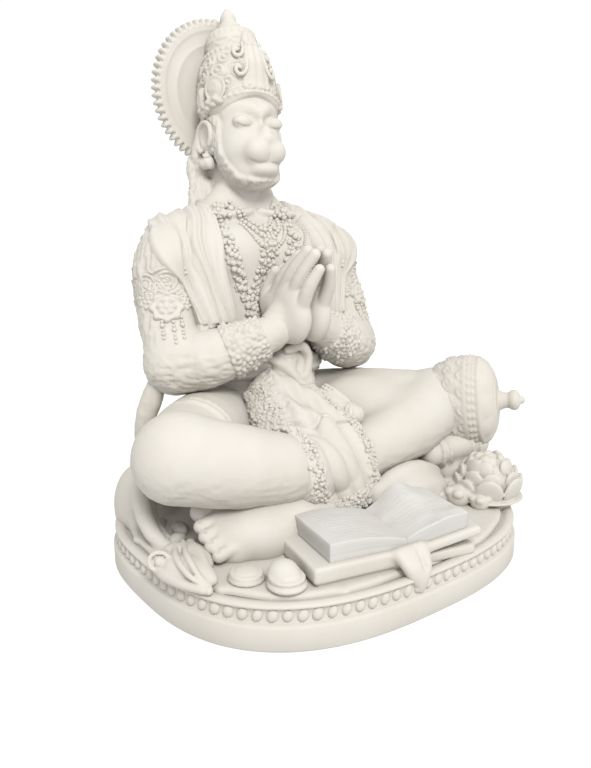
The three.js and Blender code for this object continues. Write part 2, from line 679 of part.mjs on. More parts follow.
const castStone = new THREE.MeshStandardMaterial({ color: 0xe9e3da, roughness: 0.8, metalness: 0 });
const figure = new THREE.Mesh(geometryOf(cast), castStone);
figure.name = 'hanuman_figure';

const group = new THREE.Group();
group.add(figure);

export default group;
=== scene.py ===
# The looks of a seated Hanuman statuette in matte off-white cast stone.
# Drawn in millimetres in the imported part's frame, modelled as clay on grids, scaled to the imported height.
from copy import deepcopy
from functools import reduce
from itertools import cycle, product

import bpy
import numpy as np
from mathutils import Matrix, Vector
from numpy import arctan2, array, clip, concatenate, cos, cross, hypot, interp, linspace, maximum
from numpy import meshgrid, minimum, pi, radians, sin, sqrt, stack, where


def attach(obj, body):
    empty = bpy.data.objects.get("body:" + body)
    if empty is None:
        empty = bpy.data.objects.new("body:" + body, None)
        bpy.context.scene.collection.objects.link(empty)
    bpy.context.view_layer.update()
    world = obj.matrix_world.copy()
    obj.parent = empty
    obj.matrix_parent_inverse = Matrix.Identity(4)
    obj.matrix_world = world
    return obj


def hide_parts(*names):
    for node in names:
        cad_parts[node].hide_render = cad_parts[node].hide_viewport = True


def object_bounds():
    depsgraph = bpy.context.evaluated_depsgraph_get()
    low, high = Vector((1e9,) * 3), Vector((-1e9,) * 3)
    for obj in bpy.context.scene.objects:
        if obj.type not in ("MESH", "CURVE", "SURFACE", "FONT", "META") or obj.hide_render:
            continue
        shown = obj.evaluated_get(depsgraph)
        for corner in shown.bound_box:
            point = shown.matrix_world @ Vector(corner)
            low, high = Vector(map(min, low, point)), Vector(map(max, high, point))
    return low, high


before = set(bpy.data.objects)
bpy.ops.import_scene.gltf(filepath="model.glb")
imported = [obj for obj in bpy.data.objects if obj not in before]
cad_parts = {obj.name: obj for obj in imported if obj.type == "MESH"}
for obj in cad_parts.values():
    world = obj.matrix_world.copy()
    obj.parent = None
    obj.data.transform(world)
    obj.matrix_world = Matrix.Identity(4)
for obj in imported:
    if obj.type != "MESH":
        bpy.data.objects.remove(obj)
NODE = "hanuman_figure"
CAD_LOW, CAD_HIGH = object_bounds()
DRAWN_HEIGHT = 190.0
MM = (CAD_HIGH.z - CAD_LOW.z) / DRAWN_HEIGHT
FULL_TURN = 2 * pi
UP = array([0, 0, 1])
FLIP = array([-1, 1, 1])

rng = np.random.default_rng(11)


def vec(*values):
    return array(values, np.float32)


# Noise, curves and directions
HASH = (73856093, 19349663, 83492791)
MIXER = 1274126177


def blended(t, value_at):
    """Values at the eight corners of a cell, weighted by the place t in it."""
    return sum(where(c, t, 1 - t).prod(-1) * value_at(c) for c in product((0, 1), repeat=3))


def noise(p, size, seed=0):
    """Smooth noise between -1 and 1, in cells of the given size."""
    q = np.asarray(p, float) / np.asarray(size, float) + seed * 13.7
    cell = np.floor(q).astype(np.int64)
    t = q - cell

    def corner(c):
        n = np.bitwise_xor.reduce((cell + c) * HASH, axis=-1)
        n = (n ^ (n >> 13)) * MIXER & 0x7FFFFFFF
        return ((n ^ (n >> 15)) & 0xFFFF) / 32767.5 - 1

    return blended(t * t * (3 - 2 * t), corner)


def flat_noise(x, y, size, seed):
    return noise(stack([x, y, 0 * x], -1), size, seed)


def ridges(p, size, seed, depth=2):
    """Noise folded into sharp ridges, for strokes of fur and hair."""
    return 1 - depth * abs(noise(p, size, seed))


def spline(knots, count):
    k = array(knots, float)
    k = np.vstack([2 * k[0] - k[1], k, 2 * k[-1] - k[-2]])
    t = linspace(0, len(k) - 3, count)
    i = minimum(t.astype(int), len(k) - 4)
    f = (t - i)[:, None]
    a, b, c, d = k[i], k[i + 1], k[i + 2], k[i + 3]
    return 0.5 * (2 * b + (c - a) * f + (2 * a - 5 * b + 4 * c - d) * f**2 + (3 * b - a - 3 * c + d) * f**3)


def walked(points):
    """Distance walked along the points up to each of them."""
    return concatenate([[0], np.cumsum(np.linalg.norm(np.diff(points, axis=0), axis=1))])


def lathe_grid(profile, rows, columns, first=0.0):
    """Angle, place along the axis and radius over the grid of a turned profile of (along, radius)."""
    profile = array(profile, float)
    walk = walked(profile)
    along, r = (interp(linspace(0, walk[-1], rows), walk, column) for column in profile.T)
    a, along = meshgrid(linspace(first, first + FULL_TURN, columns, endpoint=False), along)
    return a, along, np.repeat(r[:, None], columns, 1)


def step_up(x, low, high):
    t = clip((x - low) / (high - low), 0, 1)
    return t * t * (3 - 2 * t)


def bump(x, middle, width):
    return np.exp(-(((x - middle) / width) ** 2))


def spiral(reach, turn, pitch, width):
    return bump((reach / pitch - turn / FULL_TURN) % 1, 0.5, width)


def unit(v):
    v = np.asarray(v, float)
    return v / maximum(np.linalg.norm(v, axis=-1, keepdims=True), 1e-9)


def circle(middle, radius, across, above, turns):
    """Points at the given angles of a circle that lies in the plane of two directions."""
    return array(middle) + radius * (cos(turns)[:, None] * across + sin(turns)[:, None] * above)


def rotation(rx, ry, rz):
    (cx, sx), (cy, sy), (cz, sz) = ((cos(a), sin(a)) for a in radians([rx, ry, rz]))
    x = array([[1, 0, 0], [0, cx, -sx], [0, sx, cx]])
    y = array([[cy, 0, sy], [0, 1, 0], [-sy, 0, cy]])
    z = array([[cz, -sz, 0], [sz, cz, 0], [0, 0, 1]])
    return (z @ y @ x).astype(np.float32)


# Shapes: (lowest corner, highest corner, distance function)
def bone(a, b, ra, rb):
    a, b = vec(*a[:3]), vec(*b[:3])
    along = b - a
    length2 = max(float(along @ along), 1e-6)

    def distance(x, y, z):
        h = clip(((x - a[0]) * along[0] + (y - a[1]) * along[1] + (z - a[2]) * along[2]) / length2, 0, 1)
        dx, dy, dz = x - a[0] - h * along[0], y - a[1] - h * along[1], z - a[2] - h * along[2]
        return sqrt(dx * dx + dy * dy + dz * dz) - (ra + (rb - ra) * h)

    return minimum(a - ra, b - rb), maximum(a + ra, b + rb), distance


def egg(middle, radii, turn=(0, 0, 0)):
    c, r, m = vec(*middle), vec(*radii), rotation(*turn)

    def distance(x, y, z):
        dx, dy, dz = x - c[0], y - c[1], z - c[2]
        u, v, w = ((dx * m[0, k] + dy * m[1, k] + dz * m[2, k]) / r[k] for k in range(3))
        k0 = sqrt(u * u + v * v + w * w)
        k1 = sqrt((u / r[0]) ** 2 + (v / r[1]) ** 2 + (w / r[2]) ** 2)
        return k0 * (k0 - 1) / maximum(k1, 1e-5)

    reach = sqrt(((m * r) ** 2).sum(1))
    return c - reach, c + reach, distance


def slab(middle, half, turn, edge):
    c, h, m = vec(*middle), vec(*half), rotation(*turn)

    def distance(x, y, z):
        dx, dy, dz = x - c[0], y - c[1], z - c[2]
        q = [abs(dx * m[0, k] + dy * m[1, k] + dz * m[2, k]) - h[k] + edge for k in range(3)]
        outer = sqrt(sum(maximum(v, 0) ** 2 for v in q))
        return outer + minimum(maximum(maximum(q[0], q[1]), q[2]), 0) - edge

    reach = abs(m) @ h
    return c - reach, c + reach, distance


def rope(knots, count):
    """Bones end to end along a curve through knots of (x, y, z, radius)."""
    points = spline(knots, count)
    lows, highs, parts = zip(*(bone(a, b, a[3], b[3]) for a, b in zip(points[:-1], points[1:])))

    def distance(x, y, z):
        return reduce(minimum, (part(x, y, z) for part in parts))

    return np.min(lows, axis=0), np.max(highs, axis=0), distance


def wire(points, radius, count):
    """A rope of even thickness."""
    return rope([(*p, radius) for p in points], count)


def flipped(shape):
    low, high, distance = shape
    return vec(-high[0], low[1], low[2]), vec(-low[0], high[1], high[2]), lambda x, y, z: distance(-x, y, z)


def both(*shapes):
    """Each (shape, blend) and its mirror image."""
    return [(side, blend) for shape, blend in shapes for side in (shape, flipped(shape))]


def soft_min(a, b, k):
    if k <= 0:
        return minimum(a, b)
    h = maximum(k - abs(a - b), 0) / k
    return minimum(a, b) - h * h * (k * 0.25)


# Clay: a block of space that holds the distance to what is modelled in it, negative inside.
# What marches towards clay walks a share of its gap at a time, and has landed within a small gap.
EMPTY = 12.0
STRIDE = 0.8
LANDED = 0.4
CLOTH_GAP, CLOTH_REACH = 0.3, 1.8


class Clay:
    def __init__(self, low, high, step):
        self.low, self.step = vec(*low), step
        self.size = np.ceil((vec(*high) - self.low) / step).astype(int) + 1
        self.field = np.full(self.size, EMPTY, np.float32)

    def axis(self, k, first, last):
        line = self.low[k] + self.step * np.arange(first, last, dtype=np.float32)
        return line.reshape([-1 if j == k else 1 for j in range(3)])

    def add(self, shapes, reach=3.0, sign=1):
        """Joins each (shape, blend) to the clay within reach of it, or carves it out if sign is -1."""
        for (low, high, distance), blend in shapes:
            margin = reach + blend
            first = clip(np.floor((low - margin - self.low) / self.step).astype(int), 0, self.size)
            last = clip(np.ceil((high + margin - self.low) / self.step).astype(int) + 1, 0, self.size)
            if np.any(last <= first):
                continue
            part = tuple(slice(a, b) for a, b in zip(first, last))
            x, y, z = (self.axis(k, first[k], last[k]) for k in range(3))
            self.field[part] = sign * soft_min(sign * self.field[part], distance(x, y, z), blend)
        return self

    def cut(self, shapes):
        return self.add(shapes, 1.0, -1)

    def sample(self, p):
        q = clip((p - self.low) / self.step, 0, self.size - 1.001)
        i = q.astype(int)
        return blended(q - i, lambda c: self.field[tuple(np.moveaxis(i + c, -1, 0))])

    def slope(self, p):
        e = 0.5 * self.step
        return stack([(self.sample(p + e * k) - self.sample(p - e * k)) / (2 * e) for k in np.eye(3)], -1)

    def settle(self, p, level=0.0, rounds=3, most=2.0):
        for _ in range(rounds):
            g = self.slope(p)
            strength = maximum((g * g).sum(-1), 0.05)
            p = p - g * clip((self.sample(p) - level) / strength, -most, most)[..., None]
        return p

    def land(self, p, d, rounds=60, least=0.0, most=1.2):
        """Points marched along d until they meet the clay, and the last gap."""
        for _ in range(rounds):
            gap = self.sample(p)
            p = p + d * (clip(gap * STRIDE, 0, most) * (gap > least))[..., None]
        return p, gap

    def skin(self, smooth=2):
        """Quads round the clay: one point in each cell that its surface crosses."""
        f = self.field
        s = f < 0
        n = array(s.shape) - 1
        count = np.zeros(n, np.int8)
        for dx, dy, dz in product((0, 1), repeat=3):
            count += s[dx:n[0] + dx, dy:n[1] + dy, dz:n[2] + dz]
        active = (count > 0) & (count < 8)
        cells = np.argwhere(active)
        index = np.full(active.shape, -1, np.int64)
        index[active] = np.arange(len(cells))
        total = np.zeros((len(cells), 3))
        hits = np.zeros(len(cells))
        for axis, db, dc in product(range(3), (0, 1), (0, 1)):
            corner = np.insert([db, dc], axis, 0)
            end = corner + np.eye(3, dtype=int)[axis]
            fa, fb = f[tuple((cells + corner).T)], f[tuple((cells + end).T)]
            crossed = (fa < 0) != (fb < 0)
            place = np.tile(corner.astype(float), (len(cells), 1))
            place[:, axis] += where(crossed, fa / where(crossed, fa - fb, 1), 0)
            total += place * crossed[:, None]
            hits += crossed
        points = self.low + self.step * (cells + total / hits[:, None])
        faces = []
        for axis in range(3):
            first = [slice(0, -1) if k == axis else slice(1, -1) for k in range(3)]
            second = [slice(1, None) if k == axis else slice(1, -1) for k in range(3)]
            a0, a1 = s[tuple(first)], s[tuple(second)]
            at = np.argwhere(a0 != a1)
            inside = a0[tuple(at.T)]
            eb, ec = np.roll(np.eye(3, dtype=int), -axis - 1, 0)[:2]
            quad = stack([index[tuple((at + eb + ec - k).T)] for k in (0 * eb, eb, eb + ec, ec)], 1)
            quad[~inside] = quad[~inside][:, ::-1]
            faces.append(quad)
        faces = concatenate(faces)
        faces = faces[(faces >= 0).all(1)]
        for _ in range(smooth):
            points = self.settle(relaxed(points, faces, 0.6), rounds=1, most=0.5 * self.step)
        return points, faces

    def textured(self, relief, smooth=2):
        """The skin raised by relief(points, normals)."""
        points, faces = self.skin(smooth)
        n = normals(points, faces)
        return points + n * relief(points, n)[:, None], faces


# Meshes: shells of (points, faces)
def relaxed(points, faces, share):
    """Points moved towards the middle of their neighbours."""
    a, b = faces.ravel(), np.roll(faces, -1, 1).ravel()
    n = len(points)
    degree = maximum(np.bincount(a, minlength=n) + np.bincount(b, minlength=n), 1)
    middle = [(np.bincount(a, points[b, k], n) + np.bincount(b, points[a, k], n)) / degree for k in range(3)]
    return points + share * (stack(middle, 1) - points)


def normals(points, faces):
    a, b, c, d = (points[faces[:, k % faces.shape[1]]] for k in range(4))
    n = cross(c - a, d - b) if faces.shape[1] == 4 else cross(b - a, c - a)
    total = np.zeros_like(points)
    for k, axis in product(range(faces.shape[1]), range(3)):
        total[:, axis] += np.bincount(faces[:, k], n[:, axis], len(points))
    return unit(total)


def grid_faces(rows, columns, closed=False):
    i, j = meshgrid(np.arange(rows - 1), np.arange(columns if closed else columns - 1), indexing="ij")
    k = (j + 1) % columns
    quads = stack([i * columns + j, i * columns + k, (i + 1) * columns + k, (i + 1) * columns + j], -1)
    return quads.reshape(-1, 4)


def facing(points, faces, out):
    """The faces, turned over if they look against out."""
    return faces[:, ::-1] if (normals(points, faces) * out).sum() < 0 else faces


def outward(points, rows, columns, middle):
    """A closed tube of rings that looks away from its middle."""
    return points, facing(points, grid_faces(rows, columns, True), points - middle)


def with_mirror(points, faces):
    return [(points, faces), (points * FLIP, faces[:, ::-1])]


def ball_mesh(rounds):
    """An octahedron whose faces are split rounds times and pushed out to a sphere."""
    points = [array(p, float) for p in ((1, 0, 0), (0, 1, 0), (-1, 0, 0), (0, -1, 0), (0, 0, 1), (0, 0, -1))]
    faces = [f for k in range(4) for f in ((k, (k + 1) % 4, 4), ((k + 1) % 4, k, 5))]
    for _ in range(rounds):
        middles = {}

        def between(a, b):
            key = min(a, b), max(a, b)
            if key not in middles:
                middles[key] = len(points)
                points.append(unit(points[a] + points[b]))
            return middles[key]

        split = []
        for a, b, c in faces:
            ab, bc, ca = between(a, b), between(b, c), between(c, a)
            split += [(a, ab, ca), (ab, b, bc), (ca, bc, c), (ab, bc, ca)]
        faces = split
    return array(points), array(faces)


BALL, FINE_BALL = ball_mesh(1), ball_mesh(2)


def beads(places, sizes, frames=None, ball=BALL):
    """Beads at places (n, 3): radii (n,) or (n, 3), and frames (n, 3, 3) with the axes as columns."""
    points, faces = ball
    local = points * np.reshape(sizes, (len(places), 1, -1))
    if frames is not None:
        local = np.einsum("nij,nkj->nki", frames, local)
    shift = np.arange(len(places))[:, None, None] * len(points)
    return (places[:, None] + local).reshape(-1, 3), (faces + shift).reshape(-1, 3)


def drape(clay, start, toward, height, sink=1.0, closed=False):
    """A sheet of (rows, columns, 3) that lands on the clay along toward and stands off it by height."""
    p, gap = clay.land(start, unit(toward), 70, 0.01)
    landed = (abs(gap) < LANDED).ravel()
    out = unit(clay.slope(p))
    edge = np.zeros(height.shape, bool)
    edge[[0, -1]] = True
    if not closed:
        edge[:, [0, -1]] = True
    points = (p + out * where(edge, -sink, height)[..., None]).reshape(-1, 3)
    faces = facing(points, grid_faces(*height.shape, closed), out.reshape(-1, 3))
    return points, faces[landed[faces].all(1)]


def sheet(clay, stations, columns, rows, height, curl, tuck):
    """Cloth along stations of (x, y, z, half width, out x, y, z), with its edges curled and tucked in."""
    s = spline(stations, rows)
    middle, half, out = s[:, :3], s[:, 3:4], unit(s[:, 4:7])
    ahead = unit(np.gradient(middle, axis=0))
    across = unit(cross(ahead, out))
    out = cross(across, ahead)
    u = np.broadcast_to(linspace(-1, 1, columns)[None], (rows, columns))
    v = np.repeat(walked(middle)[:, None], columns, 1)
    lift = -curl(u, v) * abs(u) ** 3
    points = middle[:, None] + across[:, None] * (u * half)[..., None] + out[:, None] * lift[..., None]
    gap = clay.sample(points)
    points = where((gap < CLOTH_GAP)[..., None], clay.settle(points, CLOTH_GAP, 5, 1.5), points)
    for _ in range(6):
        points[1:-1] = 0.5 * points[1:-1] + 0.25 * (points[:-2] + points[2:])
        points[:, 1:-1] = 0.5 * points[:, 1:-1] + 0.25 * (points[:, :-2] + points[:, 2:])
    share = 0.8 * step_up(CLOTH_REACH - gap, 0, CLOTH_REACH)[..., None]
    lean = unit(out[:, None] * (1 - share) + unit(clay.slope(points)) * share)
    fall = tuck * step_up(abs(u), 1 - 3.2 / columns, 1)
    points = points + lean * height(u, v, half + 0 * u)[..., None] - out[:, None] * fall[..., None]
    points[0] -= out[0] * tuck
    points[-1] -= out[-1] * tuck
    points = points.reshape(-1, 3)
    return points, facing(points, grid_faces(rows, columns), np.repeat(out, columns, 0))


# Materials and objects
def material_of(name, settings):
    material = bpy.data.materials.new(name)
    material.use_nodes = True
    shader = material.node_tree.nodes["Principled BSDF"]
    for socket, value in settings.items():
        shader.inputs[socket].default_value = value
    return material, shader


def stone(name, tint, roughness, cloud_scale):
    """Matte cast stone: a faint cloudy tint and a fine grain."""
    material, shader = material_of(name, {"Roughness": roughness, "Specular IOR Level": 0.25})
    nodes, links = material.node_tree.nodes, material.node_tree.links
    place = nodes.new("ShaderNodeTexCoord")

    def texture(scale, detail, rough):
        made = nodes.new("ShaderNodeTexNoise")
        for socket, value in (("Scale", scale), ("Detail", detail), ("Roughness", rough)):
            made.inputs[socket].default_value = value
        links.new(place.outputs["Object"], made.inputs["Vector"])
        return made.outputs["Fac"]

    ramp = nodes.new("ShaderNodeValToRGB")
    low, high = ramp.color_ramp.elements
    low.position, high.position = 0.3, 0.68
    low.color, high.color = (tint[0] * 0.93, tint[1] * 0.915, tint[2] * 0.885, 1), (*tint, 1)
    links.new(texture(cloud_scale, 5.0, 0.62), ramp.inputs["Fac"])
    links.new(ramp.outputs["Color"], shader.inputs["Base Color"])
    relief = nodes.new("ShaderNodeBump")
    relief.inputs["Strength"].default_value = 0.16
    relief.inputs["Distance"].default_value = 0.0002
    links.new(texture(1500.0, 3.0, 0.5), relief.inputs["Height"])
    links.new(relief.outputs["Normal"], shader.inputs["Normal"])
    return material


CAST = stone("cast_stone_matte", (0.49, 0.468, 0.428), 0.72, 38.0)
# The pages' own copy of the cast stone: its greyer tint paints shade on the open pages
PAGES_PAINTED_SHADE = stone("cast_stone_pages_painted_shade", (0.47, 0.46, 0.44), 0.78, 41.0)


def build(name, shells, material=CAST):
    """One visual piece from shells whose points are in mm."""
    points = concatenate([p for p, _ in shells]) * MM
    first = np.cumsum([0] + [len(p) for p, _ in shells])
    loops = concatenate([(faces + k).ravel() for k, (_, faces) in zip(first, shells)])
    corners = concatenate([np.full(len(faces), faces.shape[1]) for _, faces in shells])
    mesh = bpy.data.meshes.new(name)
    mesh.vertices.add(len(points))
    mesh.vertices.foreach_set("co", points.astype(np.float32).ravel())
    mesh.loops.add(len(loops))
    mesh.loops.foreach_set("vertex_index", loops.astype(np.int32))
    mesh.polygons.add(len(corners))
    mesh.polygons.foreach_set("loop_start", (np.cumsum(corners) - corners).astype(np.int32))
    mesh.update(calc_edges=True)
    mesh.validate()
    mesh.polygons.foreach_set("use_smooth", np.ones(len(mesh.polygons), bool))
    mesh.materials.append(material)
    piece = bpy.data.objects.new(name, mesh)
    bpy.context.scene.collection.objects.link(piece)
    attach(piece, "root")
    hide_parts(NODE)
    print(f"{name}: {(corners - 2).sum()} triangles")


def aimed(name, data, place, direction):
    made = bpy.data.objects.new(name, data)
    made.location = place
    made.rotation_mode = "QUATERNION"
    made.rotation_quaternion = direction.to_track_quat("-Z", "Y")
    bpy.context.scene.collection.objects.link(made)
    return made


# Camera: fitted to the plinth's outline, the bead band and the crown's tip in the photograph
AZIMUTH, ELEVATION = radians(-36.866), radians(12.727)
LENS, SENSOR = 33.157, 36.0
CAMERA_AT = vec(-149.6, -186.7, 113.3)


def add_camera():
    data = bpy.data.cameras.new("camera")
    data.sensor_width, data.lens = SENSOR, LENS
    data.clip_start, data.clip_end = 0.01, 20
    level = cos(ELEVATION)
    ahead = Vector((-sin(AZIMUTH) * level, cos(AZIMUTH) * level, -sin(ELEVATION)))
    bpy.context.scene.camera = aimed("camera", data, Vector(CAMERA_AT * MM), ahead)


add_camera()

# Plinth: rounded oblong, foot band, bead band, lip and ledge
PLINTH = (69.0, 59.5, 2.7)
GROUND, LIP_TOP, INNERMOST = 14.4, 13.65, 58
PLINTH_COLUMNS = 420
BEAD_COUNT, BEAD_LEAN, BEAD_INSET, BEAD_HEIGHT = 100, 0.34, 1.9, 10.4
BEAD_SIZE = array([1.62, 1.15, 1.95])
# Inset and height, from the underside's middle round the side to the ledge
PLINTH_LEVELS = [
    (60, 0), (30, 0), (8, 0), (1.2, 0), (0.4, 0.25), (0, 0.9), (0, 4.5), (0, 7.2), (0.25, 7.8), (0.8, 8.15),
    (1.5, 8.3), (1.7, 8.6), (1.7, 12.2), (1.5, 12.5), (0.9, 12.6), (0.7, 12.9), (0.7, 13.3), (1.0, 13.7),
    (2.2, 13.95), (3.4, 13.9), (3.9, 13.1), (6, 13.0), (20, 13.0),
]


def outline(inset, count):
    """Evenly spaced points of the plinth's edge, drawn in by inset."""
    a, b, n = PLINTH
    angle = linspace(0, FULL_TURN, 1441)
    sides = ((a, cos(angle)), (b, sin(angle)))
    edge = stack([(half - inset) * np.sign(c) * abs(c) ** (2 / n) for half, c in sides], 1)
    walk = walked(edge)
    return [interp(linspace(0, walk[-1], count, endpoint=False), walk, line) for line in edge.T]


def plinth():
    rings = []
    for inset, z in PLINTH_LEVELS:
        x, y = outline(min(inset, INNERMOST), PLINTH_COLUMNS)
        ring = stack([x, y, 0 * x + z], 1)
        if 1 < z < LIP_TOP:
            ring[:, 2] += 0.12 * noise(ring, 14, 3)
        rings.append(ring)
    x, y = (line[::4] for line in outline(BEAD_INSET, BEAD_COUNT * 4))
    angle = arctan2(np.roll(y, -1) - np.roll(y, 1), np.roll(x, -1) - np.roll(x, 1))
    c, s = cos(angle), sin(angle)
    tangent, out = stack([c, s, 0 * c], 1), stack([s, -c, 0 * c], 1)
    c, s = cos(BEAD_LEAN), sin(BEAD_LEAN)
    frames = stack([tangent * c - UP * s, out, UP * c + tangent * s], -1)
    wobble = 1 + 0.09 * rng.uniform(-1, 1, (BEAD_COUNT, 3))
    places = stack([x, y, 0 * x + BEAD_HEIGHT], 1) + out * 0.1
    build("plinth", [
        outward(concatenate(rings), len(rings), PLINTH_COLUMNS, (0, 0, 7)),
        beads(places, BEAD_SIZE * wobble, frames, FINE_BALL),
    ])


def ground_shape():
    """The ledge's top, with a scalloped and nicked edge."""
    a, b, n = PLINTH

    def distance(x, y, z):
        angle = arctan2(y / b, x / a)
        edge = 4.6 + 0.3 * sin(angle * 7 + 1) + 0.2 * sin(angle * 17)
        for place in (-2.05, -1.72, -1.35, -2.6, -0.6, 0.4, 1.9, 2.9):
            edge = edge - 1.1 * bump(angle, place, 0.025)
        rim = ((abs(x / (a - edge)) ** n + abs(y / (b - edge)) ** n) ** (1 / n) - 1) * b
        return -soft_min(-(rim + 0 * z), -(z - 14.9 + 0 * x), 1.0)

    return vec(-a, -b, 12), vec(a, b, 15), distance


def trimmed(points, faces, height):
    """The shell without the faces that lie wholly below a height."""
    return points, faces[(points[faces][:, :, 2] > height).any(1)]


# Cloth folds round the seat, left of the book and between the bowl and the knee
FOLDS = [
    [(-56.6, 22, 32, 3), (-60.4, 16, 26.4, 3), (-61.8, 8, 20, 2.8), (-61, -1, 16.6, 2.2), (-57, -8, 15, 1.2)],
    [(-54, 22, 30, 2), (-57.6, 16, 24, 2.2), (-58.4, 10, 18.6, 2), (-57, 2, 15.6, 1.3)],
    [(24, -24, 15, 2), (34, -23.4, 17, 2.2), (44, -21, 16, 1.6)],
    [(-30, -22, 15, 1.6), (-24, -27, 16, 2), (-20, -34, 15.4, 1.6)],
    [(-34, -24, 14.6, 1.2), (-30, -29, 15.2, 1.4), (-28, -36, 14.8, 1.1)],
    [(-20, -22, 16, 1.6), (-17, -28, 17, 1.8), (-14, -33, 16, 1.4)],
    [(26, -14, 15, 1.6), (38, -18, 16, 1.8), (46, -20, 15, 1.4)],
    [(22, -20, 15, 1.4), (33, -24, 15.4, 1.6), (42, -26, 14.8, 1.2)],
]
WIDE_FOLDS = [
    [(8, -23, 24.5, 3.4), (18, -21, 27, 3.6), (31, -18.6, 27, 3.4), (44, -15.4, 22.4, 2.6)],
    [(8, -26, 19, 4), (18, -25, 21.4, 4.2), (30, -23, 21.4, 3.8), (41, -20.4, 19, 3)],
]


def ground():
    clay = Clay((-68, -59, 12.2), (68, 59, 36), 1.0).add([
        (ground_shape(), 0), (egg((0, 26, 14), (60, 30, 8.2)), 3),
        (egg((-52.6, 29.6, 17), (9.6, 13.5, 16), (0, 0, 8)), 2), (egg((52, 22, 14), (13, 24, 7)), 3),
    ])
    for folds, blend in ((FOLDS, 1.6), (WIDE_FOLDS, 5)):
        clay.add([(rope(knots, 8), blend) for knots in folds])
    build("ground", [trimmed(*clay.skin(), 13.0)])


plinth()
ground()

# Legs and hips, torso and arms: the shapes that the cloth lies on
LEG_SHAPES = [
    *both((rope([(-14, 38, 38, 17.6), (-36, 18, 42, 15.6), (-56, -1, 44.5, 12.6)], 7), 3)),
    (rope([(56, -3, 44.5, 13.4), (38, -7, 39.5, 12.4), (16, -7, 33, 10.4), (-8, -9, 26, 8.4),
           (-26, -10, 21, 6.6)], 9), 1.6),
    (rope([(-56.2, -3, 44.3, 14), (-38, -10, 40, 13), (-14, -12, 34, 10.5), (14, -8, 26, 7.5),
           (32, -3, 20, 5.5)], 9), 1.2),
    (egg((0, 12, 25), (42, 24, 12)), 2.5), (egg((34, 5, 41.5), (20, 12, 13), (0, 4, -30)), 4),
    (egg((27, 12, 45), (17, 9, 11.6), (0, 0, -20)), 4),
    (egg((-56, -4, 46), (12.6, 12, 12.4)), 2.5), (egg((57, -4, 46), (12, 12, 12.2)), 2.5),
]
# Height, half width, half depth and middle in y
TORSO = [
    (24, 31, 20, 38), (34, 30.5, 20, 38.5), (44, 28, 19, 39), (52, 24.5, 18.4, 38.4), (60, 22, 18.6, 37.6),
    (66, 21, 18.4, 37.4), (74, 21.4, 17.2, 38.8), (82, 23.6, 16.4, 41), (90, 26.4, 16.4, 42.4),
    (98, 28, 16.8, 43.6), (104, 28, 16.2, 44.4), (109, 27, 14.2, 45), (113.5, 23, 11.6, 46),
    (117.5, 15.4, 9.4, 48), (122.5, 10, 8.0, 49), (128, 9, 7.6, 49), (137, 8.6, 8.8, 46.4),
]


def torso_shape():
    fine = spline(TORSO, 120)

    def distance(x, y, z):
        w, d, m = (interp(z, fine[:, 0], fine[:, k]).astype(np.float32) for k in (1, 2, 3))
        k0 = ((abs(x) / w) ** 2.3 + (abs(y - m) / d) ** 2.3) ** (1 / 2.3)
        side = (k0 - 1) * minimum(w, d) * 0.9
        return -soft_min(-side, -(maximum(z - 137, 24 - z) + 0 * side), 2.0)

    return vec(-31, 17, 24), vec(31, 62, 137), distance


TORSO_SHAPES = [(torso_shape(), 0), (egg((0, 35.6, 60), (20.5, 18.4, 14)), 4)] + both(
    (egg((-11, 33.6, 103.6), (12, 6.2, 8.6), (-8, 0, 8)), 6),
    (rope([(-8, 47, 120, 7), (-18, 46, 113, 6), (-27, 45, 108, 7)], 6), 4),
    (rope([(-2, 37.6, 118, 1.4), (-9, 36, 117, 1.5), (-18, 37.5, 117, 1.4)], 6), 1.2),
)
RIGHT_ARM = [
    (rope([(-30, 44, 105.6, 11.4), (-35.4, 41, 98, 10.8), (-37.8, 38, 89, 9.8), (-38.8, 33.6, 79, 9.5),
           (-39.2, 29, 67, 10.3)], 11), 2.2),
    (rope([(-39.2, 29, 67, 10.3), (-31, 22, 68.4, 10), (-23, 17.4, 71.2, 8.3), (-15, 13.4, 75, 6.6),
           (-9.5, 11.4, 77.6, 6)], 10), 2.2),
    (egg((-37.4, 38, 100), (8.6, 9.6, 12), (18, 0, 8)), 2.2),
]
ARM_SHAPES = both(*RIGHT_ARM)


def legs():
    clay = Clay((-72, -32, 12), (72, 60, 66), 0.98).add(LEG_SHAPES, 4)
    # The cloth's hem round the right knee
    axis = unit([-0.78, -0.62, 0.08])
    side = unit(cross(UP, axis))
    for middle, radius, size in (((-44.5, 9, 43.4), 14.0, 1.0), ((-41.5, 12, 43), 14.6, 0.7)):
        ring = circle(middle, radius, side, cross(axis, side), linspace(-0.5, 3.5, 14))
        clay.add([(wire(ring, size, 26), 0.8)], 2)

    def fur(p, n):
        """Short strokes low on the shins, fading towards the smooth tops."""
        low = step_up(-n[:, 2], -0.35, 0.3) * step_up(-p[:, 1], -14, 0)
        strokes = ridges(p, (6.5, 1.3, 1.1), 5) + 0.5 * ridges(p + p[:, [2, 0, 1]] * 0.3, (4, 1.0, 0.9), 8)
        return 0.2 * low * strokes + 0.1 * noise(p, 9, 2)

    build("legs", [trimmed(*clay.textured(fur), 13.4)])


def torso():
    clay = Clay((-40, 12, 22), (40, 62, 138), 1.2).add(TORSO_SHAPES, 5)
    build("torso", [clay.textured(lambda p, n: 0.08 * noise(p, 8, 2))])


